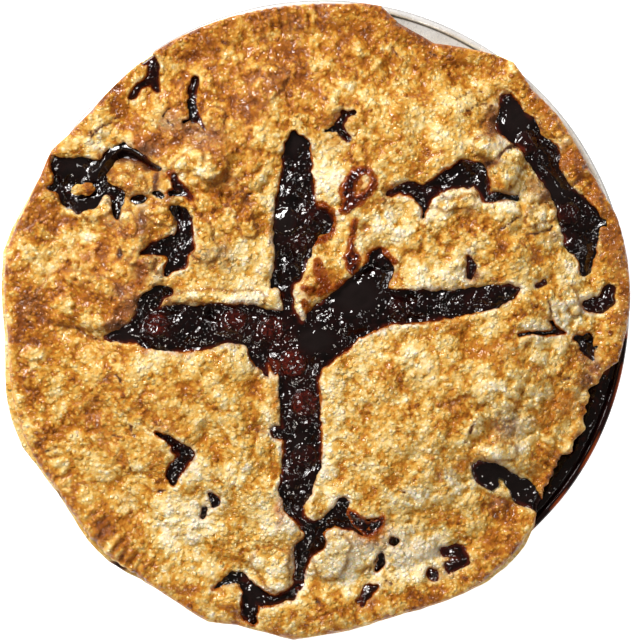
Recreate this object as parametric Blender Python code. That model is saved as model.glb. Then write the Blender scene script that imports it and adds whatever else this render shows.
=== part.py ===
"""Blueberry ginger pie baked in a rolled-rim pie tin.

Every size is in millimetres and is scaled to metres when a mesh is made. The axis of the tin is
the Z axis, its flat underside lies on Z = 0, X points to the right and Y to the far side.
"""
import math

import bpy
import numpy as np
from mathutils import Vector
from mathutils.geometry import delaunay_2d_cdt

MM = 0.001

# Tin
RIM_RADIUS = 120.0
TIN_SEGMENTS = 48
TIN_FLOOR_RADIUS = 92.5
TIN_FLANGE_TOP = 30.0

# Bottom crust
CRUST_FLOOR_TOP = 4.9
CRUST_WALL_FOOT = 88.6
CRUST_WALL_HEAD = 103.4
FLANGE_CRUST_TOP = 34.2
DROOP_START = 121.5
DROOP_SLOPE = 0.3

# Lid
LID_SEAT = 34.8
LID_STEP = 0.9
DOME_FOOT = 105.0
DOME_SHOULDER = 70.0
DOME_RISE = 9.4
CROWN_RISE = 1.5
LID_THICKNESS = 4.0
RIM_THICKNESS = 3.4
CRIMP_PITCH = 1.8
CRIMP_DEPTH = 0.9

# Filling
FILLING_RADIUS = 103.0
VENT_GAP = 0.95
UNDER_LID_GAP = 1.4

# Outline of the crust round the tin's axis: angle in degrees, radius.
OUTLINE = [
    (0, 119.6), (9, 120.1), (17, 119.9), (21, 118.3), (27, 116.8), (33, 117.1), (39, 118.1),
    (46, 117.5), (52, 120.8), (55, 119.4), (60, 115.8), (64, 113.2), (67, 111.4), (72, 113.0),
    (75, 114.3), (79, 119.4), (82, 119.4), (86, 118.2), (95, 118.0), (105, 118.4), (120, 119.0),
    (130, 118.6), (140, 118.0), (146, 119.6), (150, 122.0), (155, 121.2), (160, 122.2),
    (165, 124.6), (170, 126.4), (180, 125.3), (185, 124.6), (190, 126.0), (195, 128.0),
    (200, 129.2), (205, 129.5), (210, 127.5), (215, 126.4), (220, 127.4), (225, 129.5),
    (230, 129.9), (235, 128.4), (240, 128.0), (245, 129.0), (250, 131.0), (255, 128.8),
    (260, 129.2), (265, 130.6), (270, 128.4), (275, 126.8), (280, 124.8), (285, 124.0),
    (295, 124.7), (300, 125.2), (305, 124.6), (310, 122.6), (314, 119.0), (317, 114.2),
    (321, 112.6), (324, 111.7), (328, 111.4), (330, 113.0), (332, 112.3), (338, 110.9),
    (344, 110.7), (347, 112.2), (349.5, 117.0), (353, 117.8), (356, 118.6),
]

# How far the lid's edge stays inside the bottom crust's edge: angle, distance.
LID_INSET = [(0, 0.3), (155, 0.4), (165, 1.2), (185, 1.4), (195, 2.4), (205, 2.4), (210, 0.8),
             (218, 0.6), (226, 1.6), (232, 1.2), (240, 0.4), (298, 0.4), (304, 1.8), (311, 1.8),
             (316, 0.4), (359, 0.3)]

# Sectors where the fork marks are clear: middle angle, half width, strength.
CRIMPED = [(222, 21, 1.0), (332, 16, 0.9), (31, 19, 0.6), (98, 9, 0.6), (288, 18, 0.4)]

# Vents and cracks in the lid: strokes of (x, y, half width).
VENTS = {
    "north_arm": [
        [(-11.5, 67.0, 1.2), (-9.9, 61.2, 4.9), (-9.9, 49.5, 6.2), (-10.3, 39.7, 7.8),
         (-9.9, 30.7, 9.0), (-11.5, 22.2, 7.0), (-13.1, 14.4, 5.7), (-15.4, 8.9, 4.7),
         (-13.5, 3.8, 1.8), (-12.3, -1.2, 2.3)],
        [(-4.1, 33.1, 5.9), (-0.2, 33.1, 4.7)],
    ],
    "west_arm": [
        [(-84.0, -12.2, 0.8), (-75.9, -10.6, 3.1), (-67.3, -8.3, 7.4), (-57.5, -8.3, 9.0),
         (-47.8, -8.3, 8.6), (-38.0, -6.3, 7.2), (-28.3, -7.1, 7.8), (-18.5, -11.0, 9.4),
         (-8.8, -12.9, 10.1)],
        [(-71.2, -4.4, 2.3), (-66.5, 1.9, 3.9), (-64.2, 5.4, 3.1), (-59.5, 5.8, 1.6)],
        [(-26.3, -14.9, 3.1), (-23.6, -21.5, 2.7), (-19.7, -25.4, 2.0)],
    ],
    "east_arm": [
        [(20.9, 19.8, 2.5), (22.4, 14.4, 5.1), (15.4, 4.2, 8.6), (4.9, -7.1, 10.5),
         (-4.9, -14.9, 10.1)],
        [(8.8, -4.4, 9.4), (21.6, -0.1, 7.4), (32.2, -0.1, 6.2), (41.9, 0.3, 5.9),
         (53.6, 1.5, 4.9), (65.3, 3.8, 4.7), (72.3, 5.8, 3.1), (75.9, 6.6, 1.0)],
    ],
    "south_arm": [
        [(-8.0, -14.9, 10.1), (-9.2, -28.5, 7.6), (-8.4, -42.6, 7.6), (-7.6, -51.9, 7.2),
         (-8.0, -60.9, 7.2), (-10.7, -70.7, 6.4), (-11.5, -77.3, 3.7), (-8.4, -83.1, 2.0),
         (-3.3, -86.7, 3.1), (-2.9, -91.3, 3.7), (-7.2, -94.8, 3.7), (-8.8, -102.6, 2.0),
         (-9.2, -108.1, 2.0), (-12.3, -112.4, 2.0), (-18.1, -114.3, 1.6), (-24.4, -113.6, 2.7),
         (-28.3, -110.4, 2.7), (-30.6, -106.5, 2.3), (-35.3, -105.4, 1.8), (-39.2, -107.7, 1.2),
         (-42.7, -110.1, 0.5)],
        [(-28.3, -114.3, 3.3), (-28.7, -119.4, 2.7), (-27.1, -122.5, 1.6)],
        [(-17.7, -48.8, 2.1), (-11.9, -49.6, 3.1)],
        [(-3.3, -86.7, 3.1), (1.8, -83.5, 2.3), (6.0, -80.4, 2.9), (8.0, -76.1, 1.8)],
        [(5.3, -82.0, 2.3), (11.5, -85.1, 2.3), (17.0, -85.9, 2.9), (21.3, -84.3, 2.0)],
    ],
    "crack_top_left": [
        [(-66.5, 97.0, 1.4), (-65.5, 93.5, 2.3), (-66.1, 88.5, 2.1), (-64.2, 84.2, 0.9)],
        [(-66.9, 88.5, 2.0), (-70.8, 86.1, 1.2), (-74.7, 81.4, 0.9)],
        [(-69.6, 95.1, 1.0), (-66.5, 96.3, 1.2)],
    ],
    "crack_upper_left": [
        [(-49.7, 88.1, 1.4), (-50.5, 83.8, 1.6), (-50.9, 78.3, 1.4), (-50.1, 73.6, 2.0),
         (-47.4, 72.5, 0.8), (-45.4, 68.2, 0.4)],
        [(-54.0, 71.7, 0.6), (-50.5, 73.6, 1.2)],
    ],
    "hole_left": [
        [(-104.7, 57.3, 1.6), (-100.0, 53.0, 5.1), (-94.6, 53.0, 5.1), (-89.1, 52.6, 4.7),
         (-85.6, 54.9, 3.1), (-82.1, 58.8, 2.5), (-78.2, 61.0, 2.5), (-73.9, 59.8, 2.0),
         (-69.6, 57.3, 1.6), (-65.7, 54.5, 1.4), (-63.4, 53.4, 0.8)],
        [(-100.0, 53.0, 4.7), (-102.0, 47.1, 3.1), (-99.3, 42.0, 2.9), (-95.4, 39.7, 3.1),
         (-90.7, 41.7, 3.7), (-86.8, 46.3, 3.5), (-88.3, 51.0, 3.9)],
        [(-106.7, 46.3, 0.6), (-102.4, 47.1, 2.7)],
        [(-86.8, 47.9, 2.3), (-82.9, 45.6, 2.1), (-79.0, 43.2, 2.7), (-79.8, 38.1, 1.6),
         (-79.8, 35.0, 0.6)],
    ],
    "slit_left": [
        [(-73.1, 41.7, 1.6), (-70.4, 42.0, 1.8)],
        [(-65.3, 44.4, 0.6), (-62.2, 42.8, 0.9)],
    ],
    "slit_red": [
        [(-57.5, 50.2, 0.5), (-56.4, 47.1, 1.4), (-53.6, 44.4, 1.6), (-51.3, 42.4, 0.5)],
        [(-58.7, 44.0, 0.7), (-54.8, 44.4, 1.6)],
    ],
    "hole_mid_left": [
        [(-57.9, 38.1, 1.0), (-54.4, 35.0, 3.1), (-52.8, 30.3, 2.9), (-54.0, 24.1, 4.1),
         (-57.1, 21.8, 4.3), (-55.6, 17.9, 3.3), (-59.1, 15.1, 2.0), (-60.6, 12.8, 0.6)],
        [(-58.7, 23.3, 3.9), (-63.4, 22.9, 2.9), (-67.7, 21.4, 1.2), (-70.4, 20.6, 0.5)],
    ],
    "hole_top": [
        [(11.9, 75.6, 1.1), (8.4, 74.4, 1.6), (6.8, 70.9, 1.8), (7.6, 67.4, 1.6),
         (9.9, 65.4, 0.9)],
        [(5.7, 69.0, 1.2), (1.4, 68.2, 0.5)],
    ],
    "crack_right": [
        [(25.5, 43.6, 0.8), (30.2, 45.6, 2.1), (34.9, 45.6, 3.3), (39.6, 42.8, 3.5),
         (39.6, 38.5, 1.2), (39.2, 34.6, 0.4)],
        [(39.6, 43.6, 3.5), (44.7, 46.7, 3.1), (49.7, 49.5, 3.7), (55.2, 52.2, 4.5),
         (59.5, 53.0, 4.1), (61.4, 48.3, 2.7), (63.4, 42.8, 1.8), (69.2, 42.8, 1.2),
         (75.1, 42.2, 0.6)],
    ],
    "arc_spill": [
        [(73.5, 78.7, 2.5), (73.5, 74.4, 3.5), (75.1, 69.7, 6.6), (79.8, 65.4, 7.0),
         (85.2, 60.8, 7.4), (86.4, 55.3, 6.0), (87.6, 50.6, 5.1), (91.5, 45.9, 4.7),
         (96.5, 40.5, 6.2), (98.9, 34.6, 7.0), (100.8, 28.4, 7.8), (103.2, 22.9, 5.3),
         (103.5, 17.5, 3.1), (102.8, 13.6, 1.2)],
        [(104.3, 33.1, 4.7), (109.0, 32.7, 1.2)],
    ],
    "slit_mid_right": [
        [(56.4, 19.4, 0.5), (57.9, 15.9, 1.6), (57.1, 11.6, 1.2)],
    ],
    "dot_right": [
        [(83.3, 8.1, 1.2), (86.0, 9.3, 1.2)],
    ],
    "hole_right": [
        [(110.6, 5.8, 2.9), (109.8, 1.9, 3.3), (106.4, -0.1, 2.2), (105.2, 0.8, 1.0)],
    ],
    "crack_far_right": [
        [(89.1, -5.9, 0.7), (91.1, -9.4, 1.3), (94.2, -10.2, 1.6), (98.5, -12.6, 1.6),
         (102.4, -13.7, 3.1), (103.9, -17.6, 2.0), (105.5, -20.7, 0.8)],
        [(76.6, -11.0, 0.9), (81.3, -10.2, 1.0), (86.8, -10.4, 0.5), (91.1, -9.4, 1.2)],
    ],
    "tongue": [
        [(61.4, -64.0, 3.3), (62.2, -67.2, 2.7), (64.2, -65.2, 3.3), (71.2, -66.8, 3.1),
         (75.9, -70.7, 3.7), (80.1, -73.4, 3.7), (84.0, -76.5, 2.3), (87.2, -80.0, 2.5),
         (91.1, -83.1, 2.7)],
    ],
    "hole_low_left": [
        [(-64.5, -49.2, 0.5), (-60.3, -51.2, 1.2), (-56.7, -54.7, 2.0), (-52.5, -57.0, 2.5),
         (-54.8, -60.5, 2.5), (-57.9, -64.8, 2.7), (-57.9, -67.9, 1.2)],
    ],
    "slit_low_left": [
        [(-43.9, -73.0, 0.7), (-41.5, -75.7, 1.5), (-42.3, -77.7, 0.9)],
        [(-45.8, -78.9, 1.3), (-46.6, -82.4, 0.9)],
    ],
    "slit_bottom": [
        [(23.0, -97.6, 1.2), (22.6, -100.3, 1.6), (21.3, -102.6, 0.6)],
    ],
    "dot_bottom_left": [
        [(27.3, -91.3, 1.6), (28.0, -91.5, 1.6)],
    ],
    "hole_bottom_right": [
        [(47.8, -95.6, 2.0), (52.8, -95.6, 2.5), (55.2, -98.7, 1.9), (50.1, -101.1, 2.7),
         (49.3, -103.4, 0.9)],
    ],
    "dot_bottom_right": [
        [(43.0, -104.2, 1.8), (43.5, -104.2, 1.8)],
    ],
    "slit_rim_bottom": [
        [(20.5, -109.7, 0.9), (18.5, -110.4, 1.6), (16.6, -113.2, 1.7), (15.8, -116.3, 0.6)],
        [(16.6, -113.6, 1.2), (13.8, -114.7, 0.6)],
    ],
}

# Crust that stays inside a vent.
FLAPS = {
    "nub": [(-26.3, 5.8, 2.3), (-22.0, 5.8, 2.1), (-18.3, 5.2, 2.7)],
    "strip": [(-57.1, 3.0, 1.6), (-47.8, 3.8, 2.3), (-32.2, 4.2, 2.3), (-23.6, 5.8, 2.7)],
    "tooth": [(-8.8, 7.3, 2.7), (-8.8, 1.9, 2.5), (-7.6, -4.4, 1.6)],
    "sliver": [(-19.7, -42.2, 3.5), (-19.3, -34.4, 2.3), (-19.7, -27.8, 1.6), (-20.9, -22.3, 0.7)],
    "triangle": [(75.5, 57.3, 2.7), (72.3, 54.1, 5.1), (69.2, 48.7, 4.7)],
}

# Openings outside the tin's mouth, where a pool of syrup of its own shows.
RIM_POOLS = {
    "syrup_pool_top_left": "crack_top_left",
    "syrup_pool_right": "hole_right",
    "syrup_pool_bottom": "hole_bottom_right",
    "syrup_pool_bottom_dot": "dot_bottom_right",
    "syrup_pool_bottom_slit": "slit_rim_bottom",
}

# Broad swellings of the lid: x, y, reach, height.
SWELLINGS = [
    (55.0, 76.0, 20.0, 2.6), (-42.0, 56.0, 16.0, 1.8), (-100.0, 8.0, 14.0, 1.4),
    (-79.0, 8.0, 14.0, 1.6), (69.0, 28.0, 15.0, 1.6), (-18.0, -96.0, 11.0, 2.0),
    (17.0, -97.0, 15.0, 1.8), (-60.0, -33.0, 22.0, 1.2), (36.0, -38.0, 28.0, 1.4),
    (-38.0, 26.0, 14.0, 1.2), (20.0, 52.0, 16.0, 1.0), (70.0, -30.0, 16.0, 1.0),
]

# Folds and dents of the lid's upper face: strokes of (x, y, half width), depth.
FOLDS = [
    ([(28.0, 92.0, 3.0), (42.0, 87.5, 4.0), (55.0, 90.0, 4.0), (69.0, 95.0, 3.0)], 1.8),
    ([(-102.0, -8.5, 1.0), (-94.0, -9.5, 1.5), (-84.0, -12.2, 1.5)], 1.6),
    ([(75.0, 42.2, 0.8), (86.0, 36.0, 1.2)], 1.0),
    ([(-58.0, 62.0, 2.0), (-44.0, 66.0, 3.0), (-30.0, 72.0, 3.0)], 1.2),
    ([(60.0, -30.0, 2.0), (66.0, -42.0, 3.0), (60.0, -54.0, 2.0)], 1.0),
    ([(-45.0, -48.0, 2.0), (-34.0, -66.0, 3.0), (-30.0, -90.0, 2.0)], 1.0),
    ([(-90.0, -40.0, 2.0), (-70.0, -48.0, 2.5)], 1.0),
]

# Whole berries that stand up in the filling: x, y, radius.
BERRIES = [
    (-11.5, -21.9, 5.6), (-6.8, -37.5, 5.4), (-19.7, -9.0, 5.2), (-34.1, -5.1, 5.0),
    (-64.2, -7.1, 4.8), (-9.5, 38.0, 5.2), (-7.0, -58.0, 5.0), (30.0, -1.0, 4.6),
    (96.0, 36.0, 4.6), (80.0, 64.0, 4.8),
]

CRUMB_CENTRE = (-92.6, 46.0)
CRUMB_SIZE = (5.0, 2.4, 1.6)


def smooth_step(low, high, value):
    """Ease from 0 at low to 1 at high."""
    t = np.clip((value - low) / (high - low), 0.0, 1.0)
    return t * t * (3.0 - 2.0 * t)


def corner_value(i, j, seed):
    """A repeatable number from -1 to 1 for each lattice corner."""
    n = (i * 374761393 + j * 668265263 + seed * 974634777) & 0xFFFFFFFF
    n = ((n ^ (n >> 13)) * 1274126177) & 0xFFFFFFFF
    n = n ^ (n >> 16)
    return n / 2147483647.5 - 1.0


def noise(x, y, size, seed):
    """Smooth noise from -1 to 1 with lumps of about the given size."""
    turn = 0.7 * seed
    u = (x * math.cos(turn) - y * math.sin(turn)) / size
    v = (x * math.sin(turn) + y * math.cos(turn)) / size
    i = np.floor(u).astype(np.int64)
    j = np.floor(v).astype(np.int64)
    s = smooth_step(0.0, 1.0, u - i)
    t = smooth_step(0.0, 1.0, v - j)
    near = corner_value(i, j, seed) * (1 - s) + corner_value(i + 1, j, seed) * s
    far = corner_value(i, j + 1, seed) * (1 - s) + corner_value(i + 1, j + 1, seed) * s
    return near * (1 - t) + far * t


def stroke_distance(x, y, stroke):
    """Distance to the edge of one tapering stroke, negative inside it."""
    best = np.full(np.shape(x), 1000.0)
    for (ax, ay, aw), (bx, by, bw) in zip(stroke, stroke[1:]):
        dx = bx - ax
        dy = by - ay
        t = np.clip(((x - ax) * dx + (y - ay) * dy) / (dx * dx + dy * dy), 0.0, 1.0)
        distance = np.hypot(x - ax - t * dx, y - ay - t * dy) - (aw + t * (bw - aw))
        best = np.minimum(best, distance)
    return best


def vent_distance(x, y, names):
    """Distance to the nearest named vent, negative inside it, with a ragged edge."""
    best = np.full(np.shape(x), 1000.0)
    for name in names:
        for stroke in VENTS[name]:
            best = np.minimum(best, stroke_distance(x, y, stroke))
    for flap in FLAPS.values():
        best = np.maximum(best, -stroke_distance(x, y, flap))
    return best + 0.4 * noise(x, y, 3.2, 5) + 0.2 * noise(x, y, 1.6, 6)


def crust_distance(x, y):
    """Above zero where the lid has crust, below zero in its vents."""
    return vent_distance(x, y, VENTS)


def filling_vent(x, y):
    """Above zero where a vent opens on the one big filling."""
    return -vent_distance(x, y, [name for name in VENTS if name not in RIM_POOLS.values()])


def polar(x, y):
    """Radius and angle in degrees, from 0 to 360."""
    return np.hypot(x, y), np.degrees(np.arctan2(y, x)) % 360.0


def from_table(table, angle):
    """Value at an angle, read between the rows of a table that goes once round."""
    return np.interp(angle, [row[0] for row in table], [row[1] for row in table], period=360.0)


def crimp_strength(angle):
    """How clear the fork marks are at an angle."""
    strength = np.zeros(np.shape(angle))
    for middle, half, amount in CRIMPED:
        away = np.abs((angle - middle + 180.0) % 360.0 - 180.0)
        strength = np.maximum(strength, amount * (1.0 - smooth_step(half - 3.0, half, away)))
    return strength


def crimp(angle):
    """Fork marks: 0 on a ridge, 1 in a groove."""
    return crimp_strength(angle) * (0.5 - 0.5 * np.cos(2.0 * math.pi * angle / CRIMP_PITCH))


def outline_radius(angle):
    """Edge of the bottom crust."""
    return from_table(OUTLINE, angle)


def lid_radius(angle):
    """Edge of the lid, scalloped where it is crimped."""
    return outline_radius(angle) - from_table(LID_INSET, angle) - 0.5 * crimp(angle)


def droop(radius):
    """How far the crust hangs down outside the tin's rim."""
    return DROOP_SLOPE * np.maximum(radius - DROOP_START, 0.0)


def lid_under(x, y):
    """Underside of the lid."""
    radius = np.hypot(x, y)
    height = LID_SEAT + DOME_RISE * smooth_step(-DOME_FOOT, -DOME_SHOULDER, -radius)
    height = height + CROWN_RISE * np.maximum(1.0 - (radius / DOME_SHOULDER) ** 2, 0.0)
    height = height + LID_STEP * smooth_step(-108.0, -103.0, -radius)
    inner = smooth_step(-104.0, -88.0, -radius)
    for sx, sy, reach, rise in SWELLINGS:
        height = height + inner * rise * np.exp(-((x - sx) ** 2 + (y - sy) ** 2) / reach ** 2)
    return height - droop(radius)


def lid_smooth_top(x, y):
    """Upper face of the lid without its crags."""
    radius = np.hypot(x, y)
    trough = np.exp(-((radius - 106.5) / 3.5) ** 2)
    rim = smooth_step(96.0, 112.0, radius)
    thickness = LID_THICKNESS * (1.0 - rim) + RIM_THICKNESS * rim - 1.1 * trough
    return lid_under(x, y) + thickness


def lid_top(x, y):
    """Upper face of the lid with crags, folds, fork marks and worn edges."""
    radius, angle = polar(x, y)
    edge = lid_radius(angle) - radius
    vent = crust_distance(x, y)
    rough = 1.0 - 0.6 * smooth_step(100.0, 112.0, radius)
    height = lid_smooth_top(x, y)
    height = height + rough * (0.8 * noise(x, y, 13.0, 1) + 0.5 * noise(x, y, 6.0, 2))
    for fold, depth in FOLDS:
        height = height - depth * (1.0 - smooth_step(-1.0, 4.0, stroke_distance(x, y, fold)))
    band = smooth_step(1.0, 3.0, edge) * (1.0 - smooth_step(7.0, 11.0, edge))
    height = height - CRIMP_DEPTH * crimp(angle) * np.maximum(band, 0.35 * (edge < 3.0))
    height = height - 0.9 * (1.0 - smooth_step(0.0, 1.8, vent))
    return height - 1.1 * (1.0 - smooth_step(0.0, 2.4, edge))


def filling_top(x, y):
    """Filling: just under the lid, and swollen up in the vents."""
    radius = np.hypot(x, y)
    vent = filling_vent(x, y)
    flush = smooth_step(100.0, 60.0, np.hypot(x - 92.0, y - 45.0) * 2.0)
    flush = np.maximum(flush, smooth_step(30.0, 20.0, np.hypot(x - 76.0, y + 72.0)))
    depth = 2.6 - 1.9 * flush - 0.8 * smooth_step(1.0, 6.0, vent)
    high = lid_smooth_top(x, y) - depth + 0.5 * noise(x, y, 4.5, 3)
    for bx, by, size in BERRIES:
        reach = np.clip(1.0 - ((x - bx) ** 2 + (y - by) ** 2) / size ** 2, 0.0, 1.0)
        high = high + 1.3 * np.sqrt(reach)
    low = lid_under(x, y) - UNDER_LID_GAP
    shelf = smooth_step(FILLING_RADIUS - 0.4, FILLING_RADIUS + 1.0, radius)
    low = low * (1.0 - shelf) + (LID_SEAT + 1.1) * shelf
    rise = smooth_step(VENT_GAP, VENT_GAP + 0.45, vent)
    return low * (1.0 - rise) + high * rise


def filling_bottom(x, y):
    """Filling: on the floor, up the wall and over the lip of the bottom crust."""
    radius = np.hypot(x, y)
    radii = [0.0, CRUST_WALL_FOOT - 0.5, 101.6, 102.6, 103.8]
    heights = [CRUST_FLOOR_TOP + 0.4, CRUST_FLOOR_TOP + 0.4, 28.2, 32.2, 34.9]
    return np.interp(radius, radii, heights)


def filling_distance(x, y):
    """Above zero inside the filling's plan."""
    radius, angle = polar(x, y)
    in_vent = np.minimum(filling_vent(x, y) - VENT_GAP, outline_radius(angle) - 2.0 - radius)
    return np.maximum(FILLING_RADIUS - radius, in_vent)


def contour_loops(distance, step):
    """Closed outlines where a distance function is zero, kept on the left."""
    axis = np.arange(-136.0, 136.0, step)
    x, y = np.meshgrid(axis, axis, indexing="ij")
    value = distance(x, y)
    inside = value > 0.0
    count = inside[:-1, :-1].astype(int) + inside[1:, :-1] + inside[1:, 1:] + inside[:-1, 1:]
    follow = {}
    for i, j in zip(*np.nonzero((count > 0) & (count < 4))):
        follow.update(cell_steps(inside, int(i), int(j)))
    loops = []
    while follow:
        start, key = follow.popitem()
        chain = [start]
        while key != start:
            chain.append(key)
            key = follow.pop(key)
        loops.append(np.array([crossing(axis, value, key) for key in chain]))
    return loops


def cell_steps(inside, i, j):
    """Links from the side where the outline enters a cell to the side where it leaves."""
    corners = [(i, j), (i + 1, j), (i + 1, j + 1), (i, j + 1)]
    sides = [("x", i, j), ("y", i + 1, j), ("x", i, j + 1), ("y", i, j)]
    state = [bool(inside[c]) for c in corners]
    links = {}
    for k in range(4):
        if state[k] and not state[(k + 1) % 4]:
            n = (k + 1) % 4
            while state[n] or not state[(n + 1) % 4]:
                n = (n + 1) % 4
            links[sides[k]] = sides[n]
    return links


def crossing(axis, value, key):
    """Point of a cell side where the value is zero."""
    kind, i, j = key
    if kind == "x":
        t = value[i, j] / (value[i, j] - value[i + 1, j])
        return (axis[i] + t * (axis[i + 1] - axis[i]), axis[j])
    t = value[i, j] / (value[i, j] - value[i, j + 1])
    return (axis[i], axis[j] + t * (axis[j + 1] - axis[j]))


def loop_area(loop):
    """Signed area of a closed outline."""
    x, y = loop[:, 0], loop[:, 1]
    return 0.5 * float(np.sum(x * np.roll(y, -1) - np.roll(x, -1) * y))


def keep_points(line, tolerance, longest):
    """Indices of an open line's points that keep it within a tolerance."""
    keep = {0, len(line) - 1}
    spans = [(0, len(line) - 1)]
    while spans:
        a, b = spans.pop()
        if b - a < 2:
            continue
        chord = line[b] - line[a]
        length = math.hypot(chord[0], chord[1])
        offset = line[a + 1:b] - line[a]
        if length > 1e-6:
            away = np.abs(chord[0] * offset[:, 1] - chord[1] * offset[:, 0]) / length
        else:
            away = np.hypot(offset[:, 0], offset[:, 1])
        worst = int(np.argmax(away))
        if away[worst] > tolerance:
            middle = a + 1 + worst
        elif length > longest:
            middle = (a + b) // 2
        else:
            continue
        keep.add(middle)
        spans += [(a, middle), (middle, b)]
    return sorted(keep)


def simplify(loop, tolerance, longest):
    """A closed outline with fewer points."""
    start = int(np.argmax(loop[:, 0] + 0.3 * loop[:, 1]))
    ring = np.roll(loop, -start, axis=0)
    far = int(np.argmax(np.hypot(*(ring - ring[0]).T)))
    closed = np.vstack([ring, ring[:1]])
    first = keep_points(closed[:far + 1], tolerance, longest)
    second = keep_points(closed[far:], tolerance, longest)
    kept = [ring[k] for k in first[:-1]] + [ring[far + k] for k in second[:-1]]
    slim = [kept[0]]
    for point in kept[1:]:
        if math.dist(point, slim[-1]) > 0.35 and math.dist(point, kept[0]) > 0.35:
            slim.append(point)
    return np.array(slim)


def region_loops(distance, step, tolerance, longest, smallest):
    """The largest outline of a region and its holes; loose islands are left out."""
    loops = contour_loops(distance, step)
    outer = max(loops, key=loop_area)
    holes = [loop for loop in loops if loop_area(loop) < -smallest]
    return [simplify(loop, tolerance, longest) for loop in [outer] + holes]


def triangulate(loops, points, guides):
    """Triangles of the region inside the loops, with edges along the guide lines."""
    coords = [p for loop in loops for p in loop]
    edges = []
    start = 0
    for loop in loops:
        size = len(loop)
        edges += [(start + k, start + (k + 1) % size) for k in range(size)]
        start += size
    border_count = len(edges)
    for guide in guides:
        coords += list(guide)
        edges += [(start + k, start + k + 1) for k in range(len(guide) - 1)]
        start += len(guide)
    coords += list(points)
    flat = [Vector((float(p[0]), float(p[1]))) for p in coords]
    result = delaunay_2d_cdt(flat, edges, [], 0, 1e-5)
    verts, lines, faces, sources = result[0], result[1], result[2], result[4]
    borders = {tuple(sorted(line)) for line, source in zip(lines, sources)
               if source and min(source) < border_count}
    return np.array([(v.x, v.y) for v in verts]), inside_faces(faces, borders)


def inside_faces(faces, borders):
    """Faces that lie an odd number of borders in from the outside."""
    owners = {}
    for index, face in enumerate(faces):
        for k in range(3):
            key = tuple(sorted((face[k], face[(k + 1) % 3])))
            owners.setdefault(key, []).append(index)
    state = {}
    stack = []
    for key, own in owners.items():
        if len(own) == 1 and own[0] not in state:
            state[own[0]] = key in borders
            stack.append(own[0])
    while stack:
        index = stack.pop()
        face = faces[index]
        for k in range(3):
            key = tuple(sorted((face[k], face[(k + 1) % 3])))
            for other in owners[key]:
                if other not in state:
                    state[other] = state[index] != (key in borders)
                    stack.append(other)
    return [face for index, face in enumerate(faces) if state[index]]


def hex_points(spacing, reach, jitter):
    """Staggered points over a disc, each moved a little."""
    rows = int(reach / (spacing * 0.866)) + 1
    columns = int(reach / spacing) + 1
    i, j = np.meshgrid(np.arange(-columns, columns + 1), np.arange(-rows, rows + 1))
    x = spacing * (i + 0.5 * (j % 2)) + jitter * spacing * corner_value(i, j, 21)
    y = spacing * 0.866 * j + jitter * spacing * corner_value(i, j, 22)
    inside = np.hypot(x, y) < reach
    return np.stack([x[inside], y[inside]], axis=1)


def ring_points(radius, angles):
    """Points round the axis; the radius may change with the angle."""
    turn = np.radians(angles)
    radius = radius + np.zeros(len(turn))
    return np.stack([radius * np.cos(turn), radius * np.sin(turn)], axis=1)


def closed_ring(radius, angles):
    """A guide line that goes once round the axis."""
    ring = ring_points(radius, angles)
    return np.vstack([ring, ring[:1]])


def inner_runs(loop, distance, margin, tolerance, longest):
    """Parts of a closed outline that lie inside a region, as open lines with fewer points."""
    clear = distance(loop[:, 0], loop[:, 1]) > margin
    if clear.all():
        slim = simplify(loop, tolerance, longest)
        return [np.vstack([slim, slim[:1]])]
    if not clear.any():
        return []
    start = int(np.argmin(clear))
    runs = [[]]
    for point, good in zip(np.roll(loop, -start, axis=0), np.roll(clear, -start)):
        if good:
            runs[-1].append(point)
        elif runs[-1]:
            runs.append([])
    lines = [np.array(run) for run in runs if len(run) > 2]
    return [line[keep_points(line, tolerance, longest)] for line in lines]


def clear_of(points, others, gap):
    """Points that are not closer than a gap to any other point."""
    if len(others) == 0:
        return points
    away = np.hypot(points[:, None, 0] - others[None, :, 0], points[:, None, 1] - others[None, :, 1])
    return points[away.min(axis=1) > gap]


def even_points(loops, spacing):
    """Points at an even spacing along outlines."""
    found = []
    for loop in loops:
        closed = np.vstack([loop, loop[:1]])
        lengths = np.hypot(*(closed[1:] - closed[:-1]).T)
        along = np.concatenate([[0.0], np.cumsum(lengths)])
        marks = np.arange(0.0, along[-1], spacing)
        found.append(np.stack([np.interp(marks, along, closed[:, 0]),
                               np.interp(marks, along, closed[:, 1])], axis=1))
    return np.vstack(found)


def make_material(name, colour, roughness, metallic=0.0):
    """A plain Principled material."""
    material = bpy.data.materials.new(name)
    material.use_nodes = True
    shader = material.node_tree.nodes["Principled BSDF"]
    shader.inputs["Base Color"].default_value = (*colour, 1.0)
    shader.inputs["Roughness"].default_value = roughness
    shader.inputs["Metallic"].default_value = metallic
    return material


def make_object(name, verts, faces, material):
    """A mesh object from millimetre points."""
    mesh = bpy.data.meshes.new(name)
    mesh.from_pydata([tuple(MM * float(c) for c in v) for v in verts], [], faces)
    mesh.materials.append(material)
    piece = bpy.data.objects.new(name, mesh)
    bpy.context.scene.collection.objects.link(piece)
    return piece


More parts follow.
